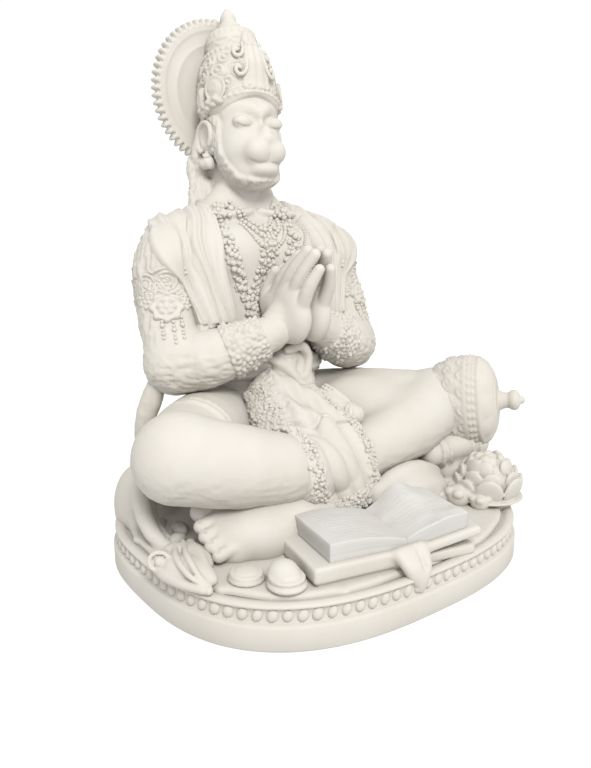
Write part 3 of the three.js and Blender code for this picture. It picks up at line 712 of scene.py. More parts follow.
def arms():
    def fur(p, n):
        """Strokes down the outer side of the upper arm and along the forearm."""
        outer = step_up(-n[:, 0] * 0.8 + n[:, 1] * 0.5 - n[:, 2] * 0.5, 0.1, 0.7)
        low = step_up(76 - p[:, 2], -3, 6)
        under = step_up(-n[:, 2] - 0.4 * n[:, 1], -0.3, 0.4) * low
        down = ridges(p, (1.5, 1.6, 6.5), 4) + 0.6 * ridges(p, (0.9, 1.0, 3.2), 9)
        along = ridges(p, (5.5, 2.4, 1.2), 6) + 0.6 * ridges(p, (3, 1.6, 0.9), 7)
        upper_part = (0.6 * outer + 0.08) * down * (1 - low)
        lower_part = (0.3 * maximum(under, 0.5 * outer) + 0.07) * along * low
        return upper_part + lower_part + 0.24 * noise(p, 8, 2) + 0.08 * noise(p, 3, 3)

    clay = Clay((-52, 4, 54), (-6, 60, 120), 0.61).add(RIGHT_ARM, 5)
    build("arms", with_mirror(*clay.textured(fur)))


legs()
torso()
arms()


def digit(root, tip, bend, sizes):
    """A finger or a toe."""
    root, tip = array(root), array(tip)
    return rope([(*p, size) for p, size in zip((root, (tip + root) / 2 + bend, tip), sizes)], 6)


# Hands: palms together, fingers up and leaning forwards
def hands():
    clay = Clay((-14, -9, 66), (14, 34, 114), 0.5).add([
        (rope([(-15, 14.4, 74.6, 6.4), (-10.4, 12.4, 77.6, 6), (-7.4, 12.4, 81, 5.4)], 6), 0),
        (egg((-4.6, 11, 84), (4.6, 9.2, 11.4), (28, 0, 0)), 3),
        (egg((-4.2, 6, 80), (4.2, 5.4, 7.6), (24, 0, 0)), 2.5),
        (egg((-4.4, 19.6, 85), (4.2, 5.6, 6.2), (20, 0, 0)), 2.5),
    ])
    for root, tip, size in (
        ((-4.4, 18, 89.5), (-2.6, 7.6, 102.8), 2.45), ((-4.9, 12.6, 90.6), (-2.6, 2.6, 104.6), 2.5),
        ((-4.9, 7.6, 89.4), (-2.5, -1.2, 103.6), 2.4), ((-4.4, 2.8, 86.6), (-2.3, -3.4, 98.8), 2.2),
    ):
        clay.add([(digit(root, tip, (-0.9, 0, 0), size * array([1.12, 1.04, 0.82])), 0.5)])
    thumb = rope([(-5, 19.4, 82, 3.6), (-5, 23, 87, 3), (-4.2, 22.4, 92.4, 2.5), (-3.6, 19.6, 97, 2.1)], 8)
    clay.add([(thumb, 0.9)])
    clay.field = minimum(maximum(clay.field, clay.axis(0, 0, clay.size[0]) + 0.15), EMPTY)
    build("hands", with_mirror(*clay.skin()))


hands()

# Clays that the cloth and the jewels lie on
torso_only = Clay((-52, -30, 14), (52, 66, 126), 0.8).add(TORSO_SHAPES, 6)
body = deepcopy(torso_only).add(LEG_SHAPES, 5)
upper = deepcopy(torso_only).add(ARM_SHAPES, 5)
arms_only = Clay((-52, 2, 56), (52, 58, 122), 0.8).add(ARM_SHAPES, 5)


def pleats(u, count, sharp):
    """Overlapping pleats: each rises slowly and falls off sharply."""
    t = (u * count) % 1
    return where(t < sharp, t / sharp, (1 - t) / (1 - sharp))


def stole():
    stations = [
        (-24.6, 20.8, 70, 7.2, 0.1, -1, 0), (-26.2, 23, 83, 8.2, -0.1, -1, 0.1),
        (-28.6, 26, 95, 9, -0.25, -1, 0.15), (-30.4, 29.4, 105, 11.2, -0.4, -1, 0.4),
        (-29, 36.6, 113.6, 11.4, -0.45, -0.7, 0.8),
        (-27, 46, 117.8, 11, -0.46, 0, 1), (-23.4, 55.6, 113.0, 10.4, -0.3, 0.8, 0.7),
        (-21, 59.8, 101, 11, -0.1, 1, 0.2), (-19, 58.6, 89, 10.6, 0, 1, 0), (-18, 56, 76, 10, 0, 1, 0),
    ]

    def height(u, v, half):
        t = (u + 1) / 2 + 0.08 * flat_noise(u * 2, v / 14, 1, 6) + 0.05 * sin(v / 16)
        fold = pleats(t, 4, 0.8) * 1.5 + 0.4 * pleats(t + 0.11, 8, 0.7)
        hem = step_up(abs(u), 0.8, 0.9)
        return (fold - 0.4) * (1 - hem) + 1.5 * hem + 0.06 * flat_noise(u * 9, v, 1.4, 7)

    return with_mirror(*sheet(upper, stations, 50, 150, height, lambda u, v: 2.4, 6))


def lace(x, y, seed):
    """Beaded lace: crowded small domes of two sizes."""
    domes = 0
    for k, size in enumerate((1.9, 1.5)):
        cell = stack([x, y], -1) / size + k * 7.3
        best = np.full(x.shape, 9.0)
        for shift in product((-1, 0, 1), repeat=2):
            at = np.floor(cell) + shift
            place = [stack([at[..., 0] * 3.1, at[..., 1] * 5.3, 0 * x + j], -1) for j in (1, 2)]
            jitter = stack([noise(p, 1, seed + j) for j, p in enumerate(place, 1)], -1)
            best = minimum(best, np.linalg.norm(cell - at - 0.5 - 0.32 * jitter, axis=-1))
        domes = maximum(domes, sqrt(clip(0.3 - best**2, 0, None)) * size)
    return domes


SASH_LENGTH = 62.0
FOLD_LINE = SASH_LENGTH * 0.46
SASH_ROWS, SASH_COLUMNS = 190, 96


def sash():
    stations = [
        (-9, 17, 62, 10.5, -0.1, -0.7, 0.7), (-8, 8.5, 57.4, 13.2, 0, -0.6, 0.8),
        (-6.6, 0, 51.6, 15.4, 0, -0.6, 0.8), (-7, -8.6, 46, 18.4, 0, -0.65, 0.75),
        (-4.8, -16.4, 38, 17.4, 0, -0.9, 0.45), (-2.6, -20.4, 29.5, 14.4, 0, -1, 0.2),
        (-1, -22.4, 20.5, 11.0, 0, -1, 0.1),
    ]

    def height(u, v, half):
        across = u * half
        tongue = minimum(half - abs(across), SASH_LENGTH - v)
        wave = 0.5 * sin(v * 1.6) + 0.4 * flat_noise(u, v / 2.2, 1, 9)
        border = step_up(5.6 + 3.6 * (u > 0) * (v < FOLD_LINE - 4) + wave - tongue, -0.6, 0.6)
        hem = FOLD_LINE + 2.4 * sin(across * 0.42 + 0.6) - 0.14 * across
        above = 1.5 + 1.0 * sin(across * 0.5 + v * 0.3) + 0.4 * sin(across * 1.1 - v * 0.2 + 1)
        above += 1.0 * step_up(v, SASH_LENGTH * 0.28, SASH_LENGTH * 0.44) + 0.5 * bump(v, hem - 1, 0.7)
        t = ((u + 1) / 2 * 0.98 + 0.03 * sin(v / 9)) * 4.3
        below = 1.9 * abs(sin(pi * t)) ** 0.5 - 0.6 + 0.2 * sin(across * 0.3 + v * 0.15)
        curled = across + 9 * clip(u, 0, 1) ** 3 * step_up(FOLD_LINE + 6 - v, 0, 12)
        rough = 0.95 * (1 - 0.85 * step_up(u, 0.3, 0.5) * (v < FOLD_LINE))
        return where(v < hem, above, below) * (1 - border) + border * (0.9 + rough * lace(curled, v, 3))

    def curl(u, v):
        return 2.2 + 7.5 * (u > 0) * step_up(FOLD_LINE + 6 - v, 0, 12)

    cloth = sheet(body, stations, SASH_COLUMNS, SASH_ROWS, height, curl, 9)
    # Lace crowded over the free left edge and the drop below it, and along the panel's borders
    grid = cloth[0].reshape(SASH_ROWS, SASH_COLUMNS, 3)
    places, sizes = [], []
    for rows, columns, count, low, high in (
        ((6, 104), (86, 94.9), 560, 0.5, 1.1), ((8, 88), (72, 88), 420, 0.45, 0.95),
        ((96, 184), (82, 92), 330, 0.4, 0.95), ((60, 184), (3, 13), 330, 0.4, 0.95),
        ((170, 186), (12, 84), 330, 0.4, 0.95),
    ):
        i, j = rng.uniform(*rows, count), rng.uniform(*columns, count)
        a, b = i.astype(int), j.astype(int)
        s, t = (i - a)[:, None], (j - b)[:, None]
        left, right = (grid[a, k] * (1 - s) + grid[a + 1, k] * s for k in (b, b + 1))
        places.append(left * (1 - t) + right * t + rng.uniform(-0.4, 0.4, (count, 3)))
        sizes.append(rng.uniform(low, high, count))
    return [cloth, beads(concatenate(places), concatenate(sizes))]


def belt():
    angle, z = meshgrid(linspace(-1.25, 1.25, 90), linspace(57, 66, 12))
    start = stack([34 * sin(angle), 38 - 30 * cos(angle), z + 1.4 * cos(angle)], -1)
    v = (z - 57) / 9
    height = 1.0 + 1.5 * sin(pi * v) + 0.5 * sin(v * 15 + 3 * sin(angle * 3))
    return [drape(torso_only, start, ((0, 38, 62) - start) * [1, 1, 0], height, 1.2)]


def knot():
    loop = [(-4, 12, 70, 1.6), (1.5, 10.8, 71, 1.8), (4.6, 11.6, 66, 1.8), (2.4, 11, 60, 1.6),
            (-2, 11.6, 61, 1.4), (-4, 12, 66, 1.4)]
    clay = Clay((-16, 2, 48), (14, 30, 78), 0.52).add([
        (egg((-1.4, 16.4, 64.5), (6.8, 5.6, 8), (-14, 10, 0)), 0),
        (egg((-6.6, 13, 56), (5.4, 3.8, 7), (-30, -34, 0)), 1.2),
        (egg((4, 13, 57), (4.6, 3.8, 6.6), (-30, 28, 0)), 1.2), (rope(loop, 18), 0.9),
        (rope([(-9, 16, 67, 1.4), (-4, 11.6, 63, 1.6), (0, 10.4, 57, 1.6), (1, 10, 52, 1.2)], 10), 1.0),
        (rope([(8, 15, 67, 1.4), (5, 12, 62, 1.5), (4.4, 10.6, 56, 1.4), (5.6, 10, 51, 1.0)], 10), 1.0),
    ]).cut([(egg((0.6, 9.6, 65), (1.7, 2.4, 3.4), (0, 20, 0)), 0.8)])
    tassel = Clay((0, -14, 38), (22, 12, 62), 0.52)
    for dx in (-3.4, -2.3, -1.2, -0.1, 1.0, 2.1):
        bend = 0.8 * sin(5 * dx)
        thread = [(5.6 + dx, 6 + bend, 55.6 + 0.8 * dx, 0.5), (8 + dx, 1, 53.6 + 0.8 * dx + 0.5 * bend, 0.75),
                  (11 + 0.5 * dx, -3.6, 50 + 0.3 * dx, 1.2)]
        tassel.add([(rope(thread, 8), 0.5)])
    tassel.add([(egg((12, -5, 47.4), (4.1, 3.8, 3.7)), 0.8), (egg((11.2, -4.2, 50.2), (2.6, 2.6, 1.6)), 0.5)])
    return [clay.skin(), tassel.textured(lambda p, n: 0.22 * cos(12 * arctan2(p[:, 1] + 5, p[:, 0] - 12)))]


def band(middle, axis, radius, half, relief, columns, rows):
    """A band round a limb; relief(angle, across in mm, radius) gives its height."""
    axis = unit(axis)
    side = unit(cross(axis, UP if abs(axis[2]) < 0.8 else [1, 0, 0]))
    a, w = meshgrid(linspace(0, FULL_TURN, columns, endpoint=False), linspace(-half, half, rows))
    radial = cos(a)[..., None] * side + sin(a)[..., None] * cross(axis, side)
    start = array(middle) + w[..., None] * axis + radial * (radius + 6)
    return drape(arms_only, start, -radial, relief(a, w, radius), closed=True)


def flower(x, y, radius, count, phase):
    """A small flower: rounded petals round a raised eye."""
    r, turn = hypot(x, y) / radius, arctan2(y, x) + phase
    petal = abs(cos(turn * count / 2))
    dome = sqrt(clip(1 - (r / (0.72 + 0.34 * petal)) ** 2, 0, 1))
    return dome * (0.55 + 0.45 * petal) - 0.5 * bump(r, 0.36, 0.13) + 0.45 * bump(r, 0, 0.22)


def rosettes(a, w, radius):
    """Crowded flowers in three staggered rows."""
    x = a * radius
    pitch = FULL_TURN * radius / 10
    best = 0
    for row, shift, count in ((-4.6, 0.1, 5), (0, 0.6, 6), (4.6, 0.2, 5)):
        cell = x / pitch + shift + 0.12 * sin(row)
        number = np.floor(cell)
        y = w - row - 0.5 * sin(number * 2.3)
        best = maximum(best, flower((cell % 1 - 0.5) * pitch, y, 3.0, count, number))
    return 0.35 + 1.15 * best + 0.3 * flat_noise(x, w, 0.9, 17)


def scrolls(a, w, radius):
    """Curling stems between two faint rims."""
    x = a * radius
    pitch = FULL_TURN * radius / 9
    dx = (x / pitch % 1 - 0.5) * pitch
    stems = spiral(hypot(dx, w * 1.05), arctan2(w, dx), 1.5, 0.23) * step_up(5.0 - abs(w), 0, 1)
    rim = bump(abs(w + 0.4 * sin(a * 5)), 4.0, 0.5)
    return 0.15 + 0.85 * stems + 0.4 * rim + 0.25 * flat_noise(x, w, 1.1, 18)


def medallion(clay, middle, toward, radius):
    """A round flower seen face on: an eye, two rings of petals and a scalloped border."""
    p, _ = clay.land(array([middle], float), unit(toward))
    out = unit(clay.slope(p))[0]
    side = unit(cross(UP, out))
    columns = 64
    turns = linspace(0, FULL_TURN, columns, endpoint=False)
    t, a = meshgrid(linspace(0.02, 1, 16), turns, indexing="ij")
    reach = t * radius * (1 + 0.1 * cos(8 * a) * t**2)
    radial = cos(a)[..., None] * side + sin(a)[..., None] * cross(out, side)
    inner, outer = 0.5 + 0.5 * cos(6 * a + 0.4), 0.5 + 0.5 * cos(8 * a)
    height = 0.5 + 1.3 * bump(t, 0, 0.2) + (0.5 + 0.9 * inner) * bump(t, 0.42, 0.13)
    height = (height + (0.5 + 0.7 * outer) * bump(t, 0.8, 0.14)) * radius / 5.5
    height[0] = height[1]
    points, faces = drape(clay, p[0] + out * 5 + reach[..., None] * radial, -out, height, 0.8, True)
    points[:columns] = points[columns:2 * columns].mean(0)
    return points, faces


def hanging(clay, path, sizes, toward, jitter=0.0):
    """Beads strung along a path and pressed to the surface."""
    knots = spline(path, 400)
    walk = walked(knots)
    places, radii, at = [], [], 0.0
    for size in cycle(sizes):
        if at >= walk[-1]:
            break
        places.append([interp(at, walk, line) for line in knots.T])
        radii.append(size)
        at += size * 1.75
    d = unit(toward)
    p, _ = clay.land(array(places) + jitter * rng.uniform(-1, 1, (len(places), 3)) - d * 8, d)
    radii = array(radii)
    return beads(p + unit(clay.slope(p)) * (radii * 0.35)[:, None], radii)


# Necklaces, the two garlands and the flower column on the chest
STRANDS = (
    [(-12.4, 36, 121), (-17.4, 30, 114), (-16.6, 26, 104), (-13.2, 24, 94), (-10.4, 24, 86), (-9, 22, 78)],
    [(11, 36, 121), (12, 29, 114), (9, 26, 104), (3, 25, 95), (-1.6, 24, 87), (-4.4, 22, 79)],
)
COLUMN = [(0.6, 26, 112), (-1.6, 25, 103), (-4.6, 24, 94), (-6.2, 22, 86), (-7, 20, 78), (-7.4, 18, 72)]
COLLAR = [(-9.4, 36, 121), (-5.6, 28, 115), (0, 27, 112), (5.6, 28, 115), (9.4, 36, 121)]
CHEST_FLOWERS = [
    (-16.4, 117, 2.8), (12.4, 117, 2.6), (-18.4, 110.4, 2.5), (12.4, 110.6, 2.2), (0, 107, 2.6),
    (-3, 99.6, 2.5), (-17, 101.6, 2.5), (8.6, 103, 2.0), (-5.6, 91, 2.5), (-13.4, 91.6, 2.3),
    (3.6, 95.6, 2.0), (-7, 83, 2.2),
]


def jewels():
    shells = []
    for mirrored in (False, True):
        made = [
            band((-19.4, 15.4, 73.2), (0.84, -0.42, 0.36), 8.6, 7.2, rosettes, 136, 38),
            band((-37.4, 38.8, 91), (-0.1, -0.34, -1), 10.6, 5.4, scrolls, 150, 34),
            medallion(arms_only, (-47, 20, 86.4), (0.5, 0.85, 0), 5.4),
            medallion(arms_only, (-36, 18, 88.4), (0.0, 1, 0), 3.6),
            medallion(arms_only, (-52, 30, 89), (0.95, 0.5, 0), 3.8),
            medallion(arms_only, (-50, 24, 93.6), (0.8, 0.7, 0), 3.2),
        ]
        for x, z in ((-46.5, 80), (-43, 78.6), (-40, 80)):
            path = [(x, 20, z + 3), (x, 20, z), (x, 20, z - 4)]
            made.append(hanging(arms_only, path, [0.75, 0.7, 0.95, 0.6], (0.25, 1, 0)))
        shells += [with_mirror(*shell)[mirrored] for shell in made]

    def strung(path, sizes, jitter=0.0):
        shells.append(hanging(torso_only, path, sizes, (0, 1, 0), jitter))

    for strand, k in product(STRANDS, range(4)):
        strung([(x + 1.1 * (k - 1.5), y, z - 0.5 * k) for x, y, z in strand], [0.85, 1.25, 0.7, 1.05], 0.55)
    for k in range(5):
        path = [(x + 1.5 * (k - 2), y, z - 0.7 * (k % 2)) for x, y, z in COLUMN]
        strung(path, [1.15, 0.75, 1.0, 0.65], 0.7)
    for drop, size in ((0, 0.85), (3.6, 1.0), (7.6, 0.8)):
        strung([(x, y, z - drop) for x, y, z in COLLAR], [size], 0.1)
    strung([(18, 30, 112), (12, 26, 101), (5, 24, 90), (-4, 22, 79), (-12, 24, 70)], [0.6])
    strung([(14, 28, 112), (10, 25, 102), (6, 24, 92), (2, 22, 84)], [0.7])
    shells += [medallion(torso_only, (x, 14, z), (0, 1, 0), size) for x, z, size in CHEST_FLOWERS]
    build("jewels", shells)


build("stole", stole())
build("sash", sash() + belt() + knot())
jewels()

LOCKS = (
    [(-12, 54, 146, 2.4), (-14.4, 54, 139, 2.3), (-13, 53.6, 131, 2.2), (-15.4, 52, 124, 2.4),
     (-14, 49, 118, 2.4)],
    [(-11, 56, 142, 2.2), (-15.8, 56, 135, 1.8), (-15.6, 54.6, 128, 1.9), (-17.6, 52, 121, 1.9),
     (-16, 48, 116, 2.1)],
    [(-12, 52, 128, 1.9), (-12.4, 48, 122, 2.2), (-13.2, 43, 118.6, 2.3), (-13, 38, 114.6, 2.3),
     (-13.8, 35, 110.5, 1.7)],
)


def fringe_and_hair(points, n):
    """A raised, stroked beard round the smooth mask, and strokes down the locks."""
    x, y, z = abs(points[:, 0]), points[:, 1], points[:, 2]
    folded = stack([x, y, z], 1)
    line = spline([(13, 45.5, 147), (13, 44.6, 139.6), (11.4, 42.4, 133), (7.6, 38.4, 128.2),
                   (3.6, 34.6, 126.4), (0, 33, 126)], 50)
    near = np.full(len(points), 99.0)
    for a, b in zip(line[:-1], line[1:]):
        ab = b - a
        h = clip(((folded - a) @ ab) / (ab @ ab), 0, 1)
        near = minimum(near, np.linalg.norm(folded - a - h[:, None] * ab, axis=1))
    skin = 1 - step_up(x, 13.5, 14.0) * step_up(z, 137.6, 138.4) * step_up(151 - z, 0, 1)
    fringe = step_up(4.6 - near, -0.5, 1.0) * skin
    back = step_up(y, 49, 51.5) * step_up(maximum(x - 10.4, y - 55), 0, 1.5) * step_up(150 - z, 0, 3)
    hair = maximum(back, step_up(120 - z, 0, 1) * step_up(x, 9, 11) * step_up(50 - y, 0, 3)) * skin
    strokes = ridges(points + [0, 0.6, 0.3] * x[:, None], (1.1, 1.1, 2.6), 12, 2.2)
    curls = ridges(points + 1.2 * sin(points[:, [2, 2, 1]] * 0.7), (1.0, 1.0, 4.5), 14, 2.2)
    return fringe * (1.0 + 0.42 * strokes) + 0.34 * hair * curls


# Head: a smooth calm mask with a rounded muzzle, a fringe of beard, ears, earrings and locks
def head():
    clay = Clay((-21, 20, 108), (21, 66, 168), 0.47).add([
        (egg((0, 46.5, 148), (13, 13.6, 15)), 0), (egg((0, 41, 140), (12.2, 10.6, 12)), 3),
        (egg((0, 37, 132), (9, 7, 5.6)), 3), (bone((0, 49.4, 118), (0, 48, 138), 8.8, 9.2), 2),
        (egg((0, 33.4, 138.6), (7.6, 6, 6.6)), 3),
        *both((egg((-3.7, 30.6, 138.4), (4.3, 4.0, 4.2), (6, 0, 10)), 1.8)),
        (egg((0, 31.8, 132.2), (5.6, 4.4, 2.9), (-8, 0, 0)), 1.2),
        (rope([(0, 36.4, 152, 1.5), (0, 33.8, 149, 1.6), (0, 31, 145.8, 1.9), (0, 29.4, 143, 2.2)], 8), 2.2),
        *both((egg((-2.1, 29.6, 142.6), (1.6, 1.7, 1.3)), 1.2)),
    ])
    clay.cut(both((egg((-5.8, 31.0, 148.8), (4.8, 2.8, 2.9), (0, 0, 18)), 3.0)))
    clay.add(both((egg((-5.9, 35.9, 148.4), (4.5, 2.9, 2.7), (0, 4, 20)), 0.8)))

    def line(knots, sink=0.0):
        """A rope whose knots (x, z, radius) lie on the face, sunk by sink."""
        p, _ = clay.land(array([(x, 20.0, z) for x, z, _ in knots]), array([0, 1, 0]), most=1)
        return rope([(*q, k[2]) for q, k in zip(p + [0, sink, 0], knots)], 3 * len(knots))

    lids = both(
        (line([(-10, 147.9, 0.22), (-8.4, 147.0, 0.36), (-6.2, 146.7, 0.4), (-4.2, 147.0, 0.36),
               (-2.6, 147.8, 0.22)]), 0.4),
        (line([(-9.6, 149.8, 0.2), (-8, 150.9, 0.3), (-5.8, 151.2, 0.3), (-3.6, 150.4, 0.2)]), 0.6),
    )
    brow = [(-10.6, 151.2, 0.7), (-8.4, 153.4, 1.2), (-5.2, 154.2, 1.3), (-2.4, 153.4, 1.2), (0, 152.2, 1.1),
            (2.4, 153.4, 1.2)]
    brows = [(line(brow, 0.9), 2.4), (flipped(line(brow[:4], 0.9)), 2.4)]
    mouth = [
        (line([(-7, 135.4, 0.25), (-4, 134.2, 0.38), (0, 134.4, 0.4), (4, 134.2, 0.38),
               (7, 135.4, 0.25)]), 0.7),
        (line([(0, 141, 0.25), (0, 138.4, 0.36), (0, 135, 0.36)], -0.2), 0.8),
    ]
    nostrils = both((egg((-1.6, 28.4, 141.9), (0.6, 0.7, 0.4)), 0.3))
    clay.cut(lids).add(brows).cut(mouth + nostrils)
    # Ears, with hoops and knobs below
    t = linspace(-0.7, 4.2, 12)
    helix = stack([-15.0 + 0 * t, 48 - 4.9 * cos(t), 143.8 + 5.0 * sin(t) + 0.8 * cos(t)], 1)
    hoop = [(-13.4, 48.6, 140.6, 0.6), (-14.4, 46.8, 139, 0.65), (-14.6, 48, 136.6, 0.7),
            (-13.6, 50, 137.6, 0.6)]
    clay.add(both((egg((-13.4, 48.2, 143.6), (1.8, 5.2, 5.4), (14, 0, 0)), 0.8), (wire(helix, 0.9, 24), 0.4)))
    clay.cut(both((egg((-16.2, 47.6, 143.8), (2.4, 3.2, 3.4), (14, 0, 0)), 0.5)))
    clay.add(both((rope(hoop, 10), 0.3), (egg((-14.4, 48.4, 134.8), (2.4, 2.4, 2.1)), 0.3)))
    # Locks of hair from behind the ears to the shoulders
    clay.add(both(*((rope(knots, 12), 0.7) for knots in LOCKS)))
    clay.add([(rope([(0, 52, 146, 11), (0, 53, 130, 10), (0, 55.6, 114, 8)], 6), 2)])
    build("head", [trimmed(*clay.textured(fringe_and_hair, 1), 109)])


head()

# Crown, leaning back with the head, and kept in front of the halo's back
CROWN_BASE, CROWN_LEAN = array([0, 46.4, 153.0]), radians(13)
CROWN_LIMIT = array([99, 60.4, 199])
CROWN = [
    (-4.4, 9.4), (-2.6, 12.2), (-0.8, 13.9), (0.5, 14.5), (1.4, 14.9), (2.4, 14.6), (3.2, 14.0), (5, 13.9),
    (9, 13.9), (13, 13.3), (16, 12.4), (18.2, 11.6), (18.9, 11.2), (19.6, 11.3), (20.3, 11.2), (20.9, 10.0),
    (21.6, 9.5), (23.4, 9.4), (24.0, 9.7), (24.7, 9.7), (25.2, 9.3), (27.4, 8.9), (28.2, 8.3), (29.2, 6.6),
    (29.7, 5.0), (30.1, 4.5), (30.7, 4.5), (31.3, 4.4), (31.7, 4.0), (32.1, 3.2), (32.9, 2.9), (34.4, 2.9),
    (35.6, 2.5), (36.8, 1.7), (37.7, 0.9), (37.97, 0.0),
]


def crown_place(x, y, z):
    c, s = cos(CROWN_LEAN), sin(CROWN_LEAN)
    return stack([x, y * c + z * s, -y * s + z * c], -1) + CROWN_BASE


def crown_drum():
    a, h, r = lathe_grid(CROWN, 150, 184, -pi)
    lift = 5.8 * bump(a, 0, 0.75) - 0.6
    h = h + lift * step_up(6 - h, 0, 12) * (h < 6)
    arc = a * 13.6
    pitch = 7.1
    swirl = 0
    # Spirals about staggered centres, and small leaves between them
    for row, shift in ((6.6, 0.0), (11.4, 0.5), (15.8, 0.1)):
        cell = arc / pitch + shift
        number = np.floor(cell)
        dx, dy = (cell % 1 - 0.5) * pitch, h - row - 0.6 * sin(number * 2.1)
        reach, turn = hypot(dx, dy), arctan2(dy, dx * where(number % 2 > 0, 1, -1))
        swirl = maximum(swirl, spiral(reach, turn, 1.7, 0.25) * step_up(3.4 - reach, 0, 0.8))
    relief = 0.95 * swirl + 0.3 * abs(flat_noise(arc, h, 1.1, 21))
    relief = relief * step_up(h, 3.4, 4.4) * step_up(18.4 - h, 0, 1)
    relief += bump(h, 1.3 + lift * 0.6, 0.8) * (0.4 + 0.4 * cos(a * 40))
    relief += 0.35 * bump(h, 3.6 + lift * 0.4, 0.4)
    relief += bump(h, 19.6, 0.6) * (0.2 + 0.35 * cos(a * 34)) + 0.3 * cos(a * 26) * bump(h, 26.4, 0.6)
    relief += 0.35 * bump(h - 23.4 + 1.4 * abs(sin(a * 5)), 0, 0.5) * step_up(h, 20.6, 21.2)
    relief += 0.12 * flat_noise(arc, h, 1.4, 22) * step_up(31 - h, 0, 2)
    # The front leaf: a tall pointed plume standing clear of the drum
    width = interp(h, [4, 8, 13, 18, 23, 27], [5.0, 5.4, 4.6, 3.4, 2.2, 0.5])
    inside = step_up(width - abs(a * r), -0.4, 0.5) * step_up(h, 3.6, 5) * step_up(27.4 - h, 0, 1.5)
    vein = 1 - 0.3 * bump(a * r, 0, 0.6) - 0.25 * bump(abs(a * r), width * 0.6, 0.5)
    lean_out = interp(h, [4, 10, 16, 20, 23, 27], [1.0, 1.4, 2.0, 3.0, 2.6, 1.0])
    r = r + maximum(relief, inside * lean_out * vein)
    squeeze = 1 - 0.11 * maximum(cos(a), 0) * step_up(16 - h, 0, 10)
    points = crown_place(sin(a) * r, -cos(a) * r * squeeze, h)
    return outward(points.reshape(-1, 3), *a.shape, CROWN_BASE + [0, 0, 10])


def crown():
    # Medallions, drop leaves, clusters over the ears and S scrolls beside the front leaf
    clay = Clay((-24, 24, 140), (24, 70, 186), 0.5)
    turns, coil = linspace(0, FULL_TURN, 15), linspace(0, 6, 16)
    bend, climb = array([(15, 5.2), (17, 2.4), (22, 0.4), (29, 0), (33, 1.8), (30, 3.4), (26, 2.4)]).T
    for side in (-1, 1):
        def put(angle, radius, height):
            t = radians(angle) * side
            return crown_place(sin(t) * radius, -cos(t) * radius, height + 0 * t)

        rim = put(66 + 15 * cos(turns), 15.3, 5.4 + 4.1 * sin(turns))
        curl = put(66 + (9 - 1.3 * coil) * cos(coil), 15.5, 5.4 + (2.5 - 0.36 * coil) * sin(coil))
        clay.add([
            (egg(put(66, 13.9, 5.4), (3.7, 1.9, 4.4), (0, 0, 66 * side)), 0),
            (wire(rim, 0.55, 30), 0.4), (wire(curl, 0.5, 30), 0.3),
            (egg(put(98, 14.6, 4.6), (1.9, 2.3, 4.0), (12, 0, 0)), 0.3),
        ])
        clay.cut([(egg(put(98, 16.9, 4.6), (1.0, 1.2, 2.4), (12, 0, 0)), 0.4)])
        for k in range(8):
            at = put(62 + 6 * k, 14.3 + 0.5 * (k % 2), 0.9 - 0.2 * k + 1.3 * (k % 2))
            clay.add([(egg(at, (1.7, 1.5, 1.1), (0, 0, 47 * k)), 0.25)])
        for k in range(4):
            at = put(92 + 7 * k, 14.2, -0.4 - 0.6 * k)
            clay.add([(egg(at, (1.4, 1.6, 1.1), (30 * k, 0, 20 * k)), 0.25)])
        for base in (8.6, 15.4):
            height = base + climb
            scroll = put(bend, interp(height, [8, 14, 18, 21, 24], [14.6, 14, 12.8, 11, 10.2]), height)
            clay.add([(wire(scroll, 0.75, 22), 0.4)])
    build("crown", [(minimum(points, CROWN_LIMIT), faces) for points, faces in (crown_drum(), clay.skin(1))])


crown()

# Halo: radius and depth behind the front rim, from the front's centre round to the back's
TEETH = 60
HALO = [
    (0, 0.55), (6, 0.55), (14, 0.55), (16.4, 0.5), (16.9, 0.3), (17.3, 0.3), (17.8, 0.5), (20.6, 0.5),
    (21.2, 0.4), (21.7, 0.2), (22.1, 0.1), (22.8, 0.25), (23.4, 0.1), (24.0, 0.1), (24.8, 0.15), (25.5, 0.4),
    (26.0, 1.1), (26.0, 3.3), (25.6, 3.9), (24.8, 4.2), (20, 4.2), (10, 4.2), (0, 4.2),
]


def halo():
    middle = array([-3, 57, 161.0])
    a = linspace(0, FULL_TURN, TEETH * 8, endpoint=False)
    notch = 1 - clip(cos(a * TEETH) * 1.3 + 0.25, -1, 1)
    rings = []
    for r, depth in HALO:
        reach = r - notch * 0.7 * step_up(r, 23.8, 25.2)
        dip = notch * 0.25 * step_up(r, 23.6, 25) * (1 if depth < 2 else -1)
        rings.append(middle + stack([reach * cos(a), depth + dip, reach * sin(a)], -1))
    build("halo", [outward(concatenate(rings), len(rings), len(a), middle + [0, 2, 0])])


halo()


